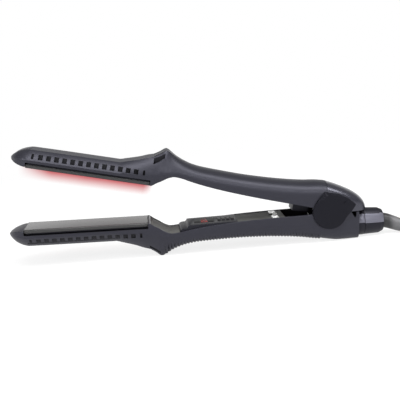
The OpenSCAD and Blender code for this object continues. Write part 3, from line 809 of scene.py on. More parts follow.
def looped(
    shape: bmesh.types.BMesh, points: Iterable[Sequence[float]]
) -> Tuple[List[bmesh.types.BMVert], List[bmesh.types.BMEdge]]:
    """Adds a closed loop of edges to a mesh.

    Args:
        shape: the mesh.
        points: corners of the loop in metres.

    Returns:
        The loop's corners and its edges.
    """
    loop = [shape.verts.new(p) for p in points]
    return loop, [shape.edges.new(pair) for pair in zip(loop, loop[1:] + loop[:1])]


def rounded(
    shape: bmesh.types.BMesh, edges: Sequence[bmesh.types.BMEdge], width: float, segments: int
) -> List[bmesh.types.BMFace]:
    """Rounds edges of a mesh.

    Args:
        shape: the mesh.
        edges: the edges that are rounded.
        width: width of the rounding in millimetres.
        segments: steps across it.

    Returns:
        The faces of the roundings.
    """
    made = bmesh.ops.bevel(
        shape,
        geom=edges,
        offset=width * MM,
        offset_type="OFFSET",
        segments=segments,
        profile=0.5,
        affect="EDGES",
        clamp_overlap=True,
        material=-1,
    )
    return made["faces"]


def bevel_edges(
    shape: bmesh.types.BMesh, width: float, segments: int = 2, angle: float = 30.0
) -> bmesh.types.BMesh:
    """Rounds the edges that are sharper than an angle.

    Args:
        shape: the mesh.
        width: width of the rounding in millimetres.
        segments: steps across it.
        angle: least angle between an edge's faces, in degrees.

    Returns:
        The same mesh.
    """
    limit = math.radians(angle)
    sharp = [e for e in shape.edges if len(e.link_faces) == 2 and e.calc_face_angle(0.0) > limit]
    rounded(shape, sharp, width, segments)
    return shape


def recast(
    node: str,
    finish: Finish,
    body: str,
    width: float = 0.3,
    name: str = "",
    segments: int = 2,
    angle: float = 30.0,
) -> bpy.types.Object:
    """Makes a piece from a node's own shape, with its edges rounded.

    Args:
        node: the node that it copies and replaces.
        finish: the piece's finish.
        body: the body that it moves with.
        width: width of the roundings in millimetres.
        name: the piece's name, if not the node's with _piece.
        segments: steps across a rounding.
        angle: least angle of an edge that is rounded, in degrees.

    Returns:
        The piece.
    """
    shape = bmesh.new()
    shape.from_mesh(frame["nodes"][node].data)
    bmesh.ops.remove_doubles(shape, verts=shape.verts, dist=0.002 * MM)
    bmesh.ops.dissolve_limit(
        shape, angle_limit=math.radians(1.0), verts=shape.verts, edges=shape.edges, delimit=set()
    )
    if width > 0:
        bevel_edges(shape, width, segments, angle)
    piece = to_object(name or node + "_piece", shape)
    smooth(piece, 35.0)
    return dress(piece, finish, body, [node])


def repaint(node: str, finish: Finish) -> None:
    """Gives a node of the model that stays in view its finish."""
    kept = frame["nodes"][node]
    if kept.material_slots:
        for place in kept.material_slots:
            place.material = PAINT[finish]
    else:
        kept.data.materials.append(PAINT[finish])
    LOG.info("%s keeps its shape: %s", node, finish.value)


# --------------------------------------------------------------------------- lofts and tubes


@dataclass(frozen=True)
class SectionTable:
    """Cross-sections along an arm, with smooth values between them.

    A row is: distance from the pin, back, inner edge, half width, half back, knee, fullness.
    """

    rows: Tuple[Tuple[float, ...], ...]

    def _slope(self, index: int, column: int) -> float:
        """Slope at a row that never overshoots its neighbours."""
        last = len(self.rows) - 1
        if index in (0, last):
            a, b = (0, 1) if index == 0 else (last - 1, last)
            return (self.rows[b][column] - self.rows[a][column]) / (self.rows[b][0] - self.rows[a][0])
        before, here, after = self.rows[index - 1], self.rows[index], self.rows[index + 1]
        h0, h1 = here[0] - before[0], after[0] - here[0]
        d0, d1 = (here[column] - before[column]) / h0, (after[column] - here[column]) / h1
        if d0 * d1 <= 0:
            return 0.0
        w0, w1 = 2 * h1 + h0, h1 + 2 * h0
        return (w0 + w1) / (w0 / d0 + w1 / d1)

    def at(self, s: float, column: int) -> float:
        """One column at a distance from the pin.

        Args:
            s: the distance.
            column: 1 back, 2 inner edge, 3 half width, 4 half back, 5 knee, 6 fullness.

        Returns:
            The value there.
        """
        rows = self.rows
        if s <= rows[0][0]:
            return rows[0][column]
        if s >= rows[-1][0]:
            return rows[-1][column]
        index = max(i for i, row in enumerate(rows) if row[0] <= s)
        index = min(index, len(rows) - 2)
        a, b = rows[index], rows[index + 1]
        h = b[0] - a[0]
        t = (s - a[0]) / h
        m0, m1 = self._slope(index, column), self._slope(index + 1, column)
        return (
            (1 + 2 * t) * (1 - t) ** 2 * a[column]
            + t * (1 - t) ** 2 * h * m0
            + t * t * (3 - 2 * t) * b[column]
            + t * t * (t - 1) * h * m1
        )

    def stations(self, a: float, b: float, step: float) -> List[float]:
        """Distances of all rows between two ends, and more where they lie far apart."""
        marks = [a, *[r[0] for r in self.rows if a + 0.2 < r[0] < b - 0.2], b]
        found = [a]
        for low, high in zip(marks, marks[1:]):
            gap = 0.8 if 131 <= low < 150 else step
            count = max(1, math.ceil((high - low) / gap))
            found += [low + (high - low) * (i + 1) / count for i in range(count)]
        return found


PIN_H, HANDLE_H, HUMP_H, ARM_H = 25.3, 18.1, 29.6, 14.9
HEEL, PLATE_L, HUMP_S, REACH = 149.5, 100.0, 139.2, 263.0
GRIP, HALF_W, BACK = 17.0, 18.0, 10.3
# Radii about the hinge pin: of the arms' seat, of the hood's bore and of its cheeks.
SEAT_R, BORE_R, CHEEK_R = 14.2, 13.4, 14.05
KEYS = ("power", "mode", "minus", "plus")
ARM_ROWS = (
    (12, HANDLE_H + 4.4, 1.2, GRIP, 9, 13, 0.85),
    (23, HANDLE_H + 2.7, 1.7, GRIP, 9, 11.5, 0.85),
    (37, HANDLE_H + 1.3, 2.1, GRIP, 9, 10.2, 0.85),
    (HUMP_S - 84, HANDLE_H + 0.3, 2.7, GRIP, 9, 9.4, 0.85),
    (HUMP_S - 66, HANDLE_H, 3.6, GRIP, 9, 9.2, 0.85),
    (HUMP_S - 44, HANDLE_H + 0.6, 5.3, GRIP, 9, 9.8, 0.85),
    (HUMP_S - 30, HANDLE_H + 1.3, 7, GRIP, 9, 10.8, 0.85),
    (HUMP_S - 21, HANDLE_H + 2.7, 8.5, GRIP, 9, 12, 0.8),
    (HUMP_S - 15, HANDLE_H + 4.4, 9.7, GRIP, 9, 12.8, 0.7),
    (HUMP_S - 9, HUMP_H - 4.8, 10.2, GRIP, 9.3, 13, 0.55),
    (HUMP_S - 4.2, HUMP_H - 2, 8.7, GRIP, 9.6, 12.4, 0.4),
    (HUMP_S - 1.6, HUMP_H - 0.5, 7.2, GRIP + 0.1, 9.8, 11.9, 0.33),
    (HUMP_S, HUMP_H - 0.06, 6.1, GRIP + 0.2, 9.9, 11.4, 0.3),
    (HUMP_S + 1.6, HUMP_H - 0.7, 5.1, GRIP + 0.3, 10, 10.9, 0.3),
    (HUMP_S + 4.6, HUMP_H - 3.1, 3.4, GRIP + 0.5, 10.1, 10, 0.3),
    (HEEL - 2.5, HUMP_H - 5.2, 1.2, HALF_W - 0.3, 10.2, 9.2, 0.3),
    (HEEL - 1.2, HUMP_H - 6, 0.5, HALF_W - 0.2, BACK, 9, 0.3),
    (HEEL + 4, ARM_H + 7.1, 0.4, HALF_W, BACK, 8.6, 0.28),
    (HEEL + 10.5, ARM_H + 4.6, 0.4, HALF_W, BACK, 8.2, 0.28),
    (HEEL + 16.5, ARM_H + 2.8, 0.4, HALF_W, BACK, 7.8, 0.28),
    (HEEL + 22.5, ARM_H + 1.1, 0.4, HALF_W, BACK, 7.6, 0.25),
    (HEEL + 26.5, ARM_H, 0.4, HALF_W, BACK, 7, 0.25),
    (HEEL + PLATE_L / 2, ARM_H, 0.6, HALF_W, BACK, 7, 0.25),
    (REACH - 16, ARM_H - 0.2, 1, HALF_W, BACK, 7, 0.25),
    (REACH - 12, ARM_H - 1, 1.1, HALF_W - 1.1, 9.4, 6.9, 0.3),
    (REACH - 9, ARM_H - 2, 1.4, HALF_W - 2.7, 8.3, 6.6, 0.36),
    (REACH - 6, ARM_H - 3.4, 2, HALF_W - 5.1, 6.8, 6.2, 0.42),
    (REACH - 3, ARM_H - 5.7, 2.9, HALF_W - 8.8, 4.7, 5.8, 0.45),
    (REACH - 1, ARM_H - 7.5, 3.8, HALF_W - 12.7, 2.6, 5.5, 0.45),
    (REACH, ARM_H - 8.9, 4.8, HALF_W - 16, 1, 5.4, 0.45),
)
LOWER_TABLE = SectionTable(
    (
        (-25, PIN_H - 0.2, 1.2, 14.6, 7.5, 14, 0.8),
        (-8, PIN_H - 0.2, 1.2, 16.8, 8.8, 15, 0.85),
        (-1, PIN_H - 1, 1.2, GRIP, 9, 14.6, 0.85),
        (5, PIN_H - 2, 1.2, GRIP, 9, 13.8, 0.85),
    )
    + ARM_ROWS
)
UPPER_TABLE = SectionTable(((5.3, HANDLE_H + 4.9, 1.2, GRIP, 9, 13.6, 0.85),) + ARM_ROWS)
HOOD_TABLE = SectionTable(
    (
        (-31, 7.6, 5, 9, 5, 6.6, 0.7),
        (-29.5, 11.2, 3.5, 11.6, 6.4, 7.6, 0.75),
        (-26.5, 14.2, 1.6, 14, 7.4, 8.8, 0.8),
        (-20, 17.6, -2, 16, 8.4, 10, 0.85),
        (-12, 20, -4, GRIP - 0.1, 9, 11.4, 0.85),
        (-4.5, 21.6, -4, GRIP, 9, 12.8, 0.85),
        (5, HANDLE_H + 4.9, -4, GRIP, 9, 13.6, 0.85),
    )
)


@dataclass(frozen=True)
class Ribs:
    """Cross ribs of a grip, which run over an arm's back and fade out up its flanks."""

    start: float
    end: float
    count: int = 50
    out: float = 0.5
    deep: float = 0.8

    @property
    def pitch(self) -> float:
        """Distance from rib to rib."""
        return (self.end - self.start) / self.count

    def stations(self) -> List[float]:
        """Distances from the pin of the ribs' corners."""
        parts = (0.0, 0.3, 0.7)
        marks = [self.start + (i + part) * self.pitch for i in range(self.count) for part in parts]
        return marks + [self.end]

    def lift(self, s: float, t: float) -> float:
        """How far the skin stands out.

        Args:
            s: distance from the pin.
            t: 0 at the flank, 1 on the back.

        Returns:
            The distance in millimetres.
        """
        if not self.start <= s <= self.end:
            return 0.0
        part = ((s - self.start) / self.pitch + 1e-6) % 1.0
        rise = min(1.0, part / 0.3, (1.0 - part) / 0.3)
        fade = max(0.0, min(1.0, (t - 0.2) / 0.3))
        return (self.out - self.deep * (1.0 - rise)) * fade * fade * (3 - 2 * fade)


@dataclass
class Loft:
    """A closed skin through the cross-sections of a table, in an arm's frame."""

    table: SectionTable
    thin: float = 0.0
    lowered: float = 0.0
    edge_round: float = 0.5
    flank_steps: int = 8
    shoulder_steps: int = 10
    swells: Tuple[Tuple[float, float, float, float], ...] = ()
    crown: float = 0.0
    ribs: Optional[Ribs] = None

    def _half(self, s: float) -> Profile:
        """One side of a cross-section, from the inner edge to the back."""
        at = self.table.at
        w = at(s, 3) - self.thin
        b = max(at(s, 4) - self.thin / 2, 0.4)
        b *= 1 - self.crown * max(0.0, min(1.0, (HUMP_S - s) / 22))
        back = at(s, 1) - self.thin
        edge = at(s, 2) - self.lowered
        knee = min(at(s, 5), back - 0.3)
        full = 0.5 + at(s, 6) / 2
        bend = (b + (w - b) * full, knee + (back - knee) * full)
        r = max(0.02, min(self.edge_round, 0.4 * w, 0.4 * (knee - edge)))
        points = [
            (w - r + r * math.sin(a), edge + r - r * math.cos(a))
            for a in (0.0, math.pi / 6, math.pi / 3, math.pi / 2)
        ]
        for i in range(1, self.flank_steps):
            z = edge + r + (knee - edge - r) * i / self.flank_steps
            points.append((w + self._swell(s, z), z))
        for i in range(self.shoulder_steps + 1):
            t = i / self.shoulder_steps
            y = w * (1 - t) ** 2 + 2 * bend[0] * t * (1 - t) + b * t * t
            z = knee * (1 - t) ** 2 + 2 * bend[1] * t * (1 - t) + back * t * t
            y += self._swell(s, z) * (1 - t)
            if self.ribs:
                dy = (bend[0] - w) * (1 - t) + (b - bend[0]) * t
                dz = (bend[1] - knee) * (1 - t) + (back - bend[1]) * t
                lift = self.ribs.lift(s, t) / max(math.hypot(dy, dz), 1e-6)
                y, z = y + dz * lift, z - dy * lift
            points.append((y, z))
        return points

    def _swell(self, s: float, z: float) -> float:
        """How far the flank stands out at a place, from its soft swellings."""
        return sum(
            h * math.exp(-((s - a) ** 2 + (z - c) ** 2) / (2 * r * r)) for a, c, r, h in self.swells
        )

    def ring(self, s: float) -> List[Vector]:
        """The whole cross-section, from one inner edge over the back to the other."""
        half = self._half(s)
        near = [Vector((-s, -y, z)) * MM for y, z in half]
        far = [Vector((-s, y, z)) * MM for y, z in reversed(half)]
        return near + far

    def build(self, a: float, b: float, step: float = 2.0) -> bmesh.types.BMesh:
        """The skin between two distances.

        Args:
            a: first distance from the pin.
            b: last distance.
            step: longest stretch between two rings.

        Returns:
            A closed mesh.
        """
        marks = self.table.stations(a, b, step)
        if self.ribs:
            grip = self.ribs
            marks = [s for s in marks if not grip.start - 0.3 < s < grip.end + 0.3] + grip.stations()
        return through([self.ring(s) for s in sorted(marks)], closed=True)


def through(rings: Sequence[Sequence[Vector]], closed: bool) -> bmesh.types.BMesh:
    """Extrudes a loop of edges from ring to ring.

    Args:
        rings: points of each ring in metres, of equal counts.
        closed: whether the two ends are filled.

    Returns:
        The mesh, with its faces outward.
    """
    shape = bmesh.new()
    loop, edges = looped(shape, rings[0])
    first = list(edges)
    for ring in rings[1:]:
        made = bmesh.ops.extrude_edge_only(shape, edges=edges)["geom"]
        fresh = {g for g in made if isinstance(g, bmesh.types.BMVert)}
        edges = [g for g in made if isinstance(g, bmesh.types.BMEdge) and fresh.issuperset(g.verts)]
        loop = [next(e.other_vert(v) for e in v.link_edges if e.other_vert(v) in fresh) for v in loop]
        for vertex, point in zip(loop, ring):
            vertex.co = point
    if closed:
        for rim in (first, edges):
            bmesh.ops.edgeloop_fill(shape, edges=rim)
    bmesh.ops.recalc_face_normals(shape, faces=shape.faces)
    return shape


def follow(
    table: SectionTable, column: int, a: float, b: float, near: float, far: float, half: float
) -> bmesh.types.BMesh:
    """A slab that follows an arm's inner edge or back.

    Args:
        table: the arm's cross-sections.
        column: 1 for the back, 2 for the inner edge.
        a: first distance from the pin.
        b: last distance.
        near: depth of its first side past the edge or back.
        far: depth of its other side.
        half: how far it reaches to each side.

    Returns:
        The mesh.
    """
    marks = table.stations(a, b, 3.0)
    outline = [(-s, table.at(s, column) + near) for s in marks]
    outline += [(-s, table.at(s, column) + far) for s in reversed(marks)]
    return prism(outline, half)


def eased(points: Sequence[Point], parts: int) -> List[Vector]:
    """A smooth line through points.

    Args:
        points: in millimetres.
        parts: how many stretches each gap is split into.

    Returns:
        Points in metres.
    """
    path = [Vector(p) * MM for p in points]
    out: List[Vector] = []
    for i in range(len(path) - 1):
        p0, p1 = path[max(i - 1, 0)], path[i]
        p2, p3 = path[i + 1], path[min(i + 2, len(path) - 1)]
        for k in range(parts):
            t = k / parts
            out.append(
                0.5
                * (
                    2 * p1
                    + (p2 - p0) * t
                    + (2 * p0 - 5 * p1 + 4 * p2 - p3) * t * t
                    + (3 * p1 - 3 * p2 + p3 - p0) * t ** 3
                )
            )
    return out + [path[-1]]


def hose(path: Sequence[Vector], radius: Callable[[float], float], sides: int) -> bmesh.types.BMesh:
    """A round tube with closed ends along a line.

    Args:
        path: points in metres.
        radius: radius in millimetres at each share of the length.
        sides: number of sides.

    Returns:
        The mesh.
    """
    rings: List[List[Vector]] = []
    total = sum((b - a).length for a, b in zip(path, path[1:]))
    run = 0.0
    side = Vector((0, 1, 0))
    for i, point in enumerate(path):
        if i:
            run += (point - path[i - 1]).length
        heading = (path[min(i + 1, len(path) - 1)] - path[max(i - 1, 0)]).normalized()
        side = (side - heading * side.dot(heading)).normalized()
        across = heading.cross(side)
        r = radius(run / total) * MM
        rings.append(
            [
                point + r * (side * math.cos(a) + across * math.sin(a))
                for a in (2 * math.pi * k / sides for k in range(sides))
            ]
        )
    return through(rings, closed=True)


# --------------------------------------------------------------------------- cord


@dataclass
class CordSet:
    """Strain relief, mains cord put away in a tied hank, and plug, behind the iron."""

    diameter: float = 6.9
    hank_x: float = 107.0
    hank_z: float = 5.1
    straight: float = 74.0
    fold: float = 21.0
    step: float = 8.0
    layer: float = 7.5
    waist: float = 7.0
    loops: float = 5.5
    relief_route: Tuple[Point, ...] = (
        (34, 0, 11.3), (37, 0, 10.9), (40, -0.3, 10.2), (43, -0.8, 9.2), (46, -1.7, 8.1),
        (49, -2.9, 7), (52, -4.3, 6.1), (56, -6.5, 5.5), (60, -9, 5.3), (64, -11.7, 5.2),
        (68, -14.5, 5.1),
    )
    floor_route: Tuple[Point, ...] = (
        (72, -17.4, 5.1), (76, -20.1, 5.1), (80, -22.6, 5.1), (84, -24.8, 5.1), (88, -26.6, 5.1),
        (92, -28, 5.1), (96, -28.8, 5.1), (100, -29.0, 5.1),
    )
    tail_route: Tuple[Point, ...] = (
        (174, 29.0, 27.6), (170, 28.9, 27.9), (166, 28.7, 29), (162, 28.2, 30.8),
        (158, 27.5, 33.3), (154, 26.6, 35.1), (150, 25.6, 36.2), (146, 24.4, 36.6),
        (142, 23.1, 36.8), (138, 21.7, 37.1), (134, 20.3, 37.5), (130, 18.9, 37.9),
        (126, 17.5, 38.3), (122, 16.2, 38.7), (118, 15.1, 38.9), (115, 14.4, 39),
    )
    spiral: Tuple[Tuple[float, float], ...] = (
        (0, 1), (1, 0), (1.5, 0), (1.75, 0.2), (2, 0.8), (2.25, 1), (3, 1), (3.25, 0.8),
        (3.5, 0.2), (3.75, 0), (4.5, 0), (4.75, 0.2), (5, 0.8), (5.25, 1),
    )
    climb: Tuple[Tuple[float, float], ...] = ((1, 0), (1.25, 1), (2.5, 1), (2.75, 2), (4, 2), (4.25, 3))
    plug: Point = (115.0, 14.4, 39.0)
    plug_l: float = 36.0
    plug_w: float = 25.0
    plug_t: float = 15.0
    neck_r: float = 4.6
    relief_r: float = 6.4
    relief_taper: float = 2.0
    relief_grooves: int = 12
    tie_at: float = 27.0
    tie_w: float = 12.0
    tie_t: float = 1.2

    @staticmethod
    def _lookup(x: float, rows: Sequence[Tuple[float, float]]) -> float:
        """Straight-line value between the rows."""
        if x <= rows[0][0]:
            return rows[0][1]
        for (a, u), (b, v) in zip(rows, rows[1:]):
            if x <= b:
                return u + (v - u) * (x - a) / (b - a)
        return rows[-1][1]

    def drawn_in(self, x: float) -> float:
        """How far the tie draws the hank's runs in at a distance along them."""
        return self.waist * (1 + math.cos(2 * math.pi * (x / self.straight - 0.5))) / 2

    def _hank_point(self, i: int) -> Point:
        """One point of the hank's line, of 24 a loop."""
        t, k = i / 24, i % 24
        r = self.fold + self.step * self._lookup(t, self.spiral)
        side, part = (-1 if k < 12 else 1), k % 12
        if part <= 6:
            run = self.straight * part / 6
            x, y = run, r - self.drawn_in(run)
        else:
            turn = math.pi * (part - 6) / 6
            x, y = self.straight + r * math.sin(turn), r * math.cos(turn)
        level = self.hank_z + self.layer * self._lookup(t, self.climb)
        return (self.hank_x + (x if side < 0 else self.straight - x), side * y, level)

    def line(self) -> List[Vector]:
        """The cord's whole line in metres, from the barrel to the plug."""
        hank = [self._hank_point(i) for i in range(int(self.loops * 24) + 1)]
        return eased([*self.relief_route, *self.floor_route, *hank, *self.tail_route], 3)

    def _tie(self) -> bpy.types.Object:
        """Strap round the waist of the hank."""
        x0, inset, gap = self.hank_x + self.tie_at, 3.5, 3.8
        half = self.fold + self.step - self.drawn_in(self.tie_at) + self.diameter / 2 + 0.1 - inset
        top, low = self.hank_z + 3 * self.layer + gap - inset, self.hank_z - gap + inset
        r = self.diameter / 2 + 0.65
        outline = []
        for quarter, (cy, cz) in enumerate(((half, top), (-half, top), (-half, low), (half, low))):
            for k in range(7):
                a = math.radians(90 * quarter + 15 * k)
                outline.append((cy + r * math.cos(a), cz + r * math.sin(a)))
        shape = bmesh.new()
        edges = looped(shape, [(x0 * MM, y * MM, z * MM) for y, z in outline])[1]
        made = bmesh.ops.extrude_edge_only(shape, edges=edges)["geom"]
        moved = [g for g in made if isinstance(g, bmesh.types.BMVert)]
        bmesh.ops.translate(shape, vec=(self.tie_w * MM, 0, 0), verts=moved)
        bmesh.ops.recalc_face_normals(shape, faces=shape.faces)
        piece = to_object("hank_strap", shape)
        wall = piece.modifiers.new("wall", "SOLIDIFY")
        wall.thickness = self.tie_t * MM
        wall.offset = 0.0
        edge = piece.modifiers.new("edge", "BEVEL")
        edge.width = 0.35 * MM
        edge.segments = 2
        edge.limit_method = "ANGLE"
        smooth(piece, 40.0)
        return dress(piece, Finish.STRAP, "swivel", ["hank_tie"])

    def _plug(self) -> bpy.types.Object:
        """Moulded plug body, flat towards the pins and ribbed where it is held."""
        px, py, pz = self.plug
        neck, end, w, t = self.neck_r, self.plug_l, self.plug_w / 2, self.plug_t / 2
        rings = []
        marks = [(0.0, neck, neck)]
        for i in range(1, 9):
            share = i / 8
            ease = share * share * (3 - 2 * share)
            groove = -0.45 if i in (2, 4, 6) else 0.0
            marks.append((15.0 * share, neck + 7.3 * ease + groove, neck + 2.4 * ease + groove))
        marks += [(16.2, w - 0.2, t - 0.1), (17.0, w, t), (end - 1.6, w, t)]
        marks += [(end - 0.5, w - 0.4, t - 0.4), (end, w - 1.1, t - 1.1)]
        for x, half_w, half_t in marks:
            ring = []
            for k in range(40):
                a = 2 * math.pi * k / 40
                flat = half_w - half_t
                y = half_t * math.cos(a) + (flat if math.cos(a) > 0 else -flat)
                ring.append(Vector((px - x, py + y, pz + half_t * math.sin(a))) * MM)
            rings.append(ring)
        piece = to_object("mains_plug", through(rings, closed=True))
        smooth(piece, 45.0)
        return dress(piece, Finish.CORD, "swivel", ["plug_body"])

    def _relief(self) -> bpy.types.Object:
        """Tapered strain relief with ring grooves in its outer half."""

        def radius(share: float) -> float:
            """Radius at a share of the relief's length."""
            wave = 0.0
            if 0.5 < share < 0.95:
                turns = (share - 0.5) * 2 * math.pi * self.relief_grooves
                wave = 0.35 * max(0.0, math.sin(turns))
            return self.relief_r - self.relief_taper * share - wave

        path = eased(self.relief_route, 10)
        piece = to_object("strain_boot", hose(path, radius, 32))
        smooth(piece, 60.0)
        return dress(piece, Finish.RELIEF, "swivel", ["strain_relief"])

    def build(self) -> None:
        path = self.line()
        length = sum((b - a).length for a, b in zip(path, path[1:]))
        LOG.info("cord length %.4f m", length)
        cord = to_object("mains_cord", hose(path, lambda share: self.diameter / 2, 14))
        smooth(cord, 60.0)
        dress(cord, Finish.CORD, "swivel", ["cord", "cord_hank", "cord_tail"])
        strap, plug, boot = self._tie(), self._plug(), self._relief()
        pins = recast("plug_pins", Finish.BRASS, "swivel", 0.25)
        tuple(path[0])


# --------------------------------------------------------------------------- shells


@dataclass
class ArmShell:
    """One arm's outer shell, with its bay, vents and ramp vents."""

    arm: Arm
    table: SectionTable
    start: float
    wall: float = 2.2
    rim: float = 4.8
    vents: int = 15
    vent_l: float = 3.7
    vent_z: float = 8.2
    vent_h: float = 3.8
    vent_from: float = 5.9
    vent_ends: float = 10.8
    swells: Tuple[Tuple[float, float, float, float], ...] = ()
    crown: float = 0.0
    ribs: Optional[Ribs] = None
    shield_y: float = 12.85
    slot_deep: float = 5.6
    rim_round: float = 0.7
    lip_round: float = 0.3
    slot_ys: Tuple[float, ...] = (-13, -7.8, 7.8, 13)
    shield_half: float = 0.25
    shield_zs: Tuple[float, float] = (5.6, 12.3)

    def _vent_blocks(self) -> List[bmesh.types.BMesh]:
        """Blocks that cut the row of vents in both flanks, with a half vent at each end."""
        pitch = (PLATE_L - self.vent_ends) / (self.vents - 1)
        found = []
        for i in range(self.vents):
            half = self.vent_l / (4 if i in (0, self.vents - 1) else 2)
            middle = HEEL + self.vent_from + i * pitch
            found.append(block(middle - half, middle + half, 30, self.vent_z, self.vent_z + self.vent_h))
        return found

    def _ramp_slots(self) -> List[bmesh.types.BMesh]:
        """Slabs that cut the four vents of the ramp."""
        found = []
        for y in self.slot_ys:
            slab = follow(self.table, 1, HEEL - 9.2, HEEL - 0.6, -self.slot_deep, 2, 1.7)
            bmesh.ops.translate(slab, vec=(0, y * MM, 0), verts=slab.verts)
            found.append(slab)
        return found

    def shields(self, body: str) -> None:
        """Thin dark walls between the vents and the plate's tray."""
        walls = []
        for side in (-1, 1):
            wall = block(HEEL + 0.6, HEEL + PLATE_L - 2, self.shield_half, *self.shield_zs)
            bmesh.ops.translate(wall, vec=(0, side * self.shield_y * MM, 0), verts=wall.verts)
            walls.append(bevel_edges(wall, 0.1))
        shield = to_object(self.arm.word + "_heat_shield", placed(merged(walls), self.arm))
        dress(shield, Finish.SHIELD, body)

    def seal(self, body: str) -> None:
        """Thin dark wall across the arm that closes the slit at the plate's heel."""
        shape = bevel_edges(block(HEEL - 0.3, HEEL + 0.04, 15.95, 0.3, self.rim - 0.1), 0.04)
        wall = to_object(self.arm.word + "_heel_seal", placed(shape, self.arm))
        dress(wall, Finish.INSIDE, body)

    def skin(self, name: str) -> bpy.types.Object:
        """The shell without the cuts of its own arm."""
        outer = Loft(self.table, swells=self.swells, crown=self.crown, ribs=self.ribs)
        piece = to_object(name, placed(outer.build(self.start, REACH), self.arm))
        hollow = Loft(self.table, self.wall, 12, 0.1, 3, 8, crown=self.crown).build(
            self.start + self.wall, HEEL + PLATE_L - 1
        )
        carve(piece, placed(hollow, self.arm))
        bay = block(HEEL - 0.2, HEEL + PLATE_L + 0.2, 40, -40, self.rim)
        cuts = merged([bay, *self._vent_blocks(), *self._ramp_slots()])
        carve(piece, placed(cuts, self.arm))
        self._soften(piece)
        return piece

    def _soften(self, piece: bpy.types.Object) -> None:
        """Rounds the outer edges of the bay and of the vents."""
        back = self.arm.matrix.inverted()
        shape = bmesh.new()
        shape.from_mesh(piece.data)
        rim, lips = [], []
        for edge in shape.edges:
            faces = edge.link_faces
            if len(faces) != 2 or faces[0].material_index == faces[1].material_index:
                continue
            a, b = (back @ v.co / MM for v in edge.verts)
            if abs(a.z - self.rim) < 0.02 and abs(b.z - self.rim) < 0.02 and min(abs(a.y), abs(b.y)) > 15:
                rim.append(edge)
            elif min(abs(a.y), abs(b.y)) > 15 and -min(a.x, b.x) < HEEL + PLATE_L:
                lips.append(edge)
        for edges, width, segments in ((rim, self.rim_round, 3), (lips, self.lip_round, 2)):
            for face in rounded(shape, [e for e in edges if e.is_valid], width, segments):
                face.material_index = 0
        shape.to_mesh(piece.data)
        shape.free()


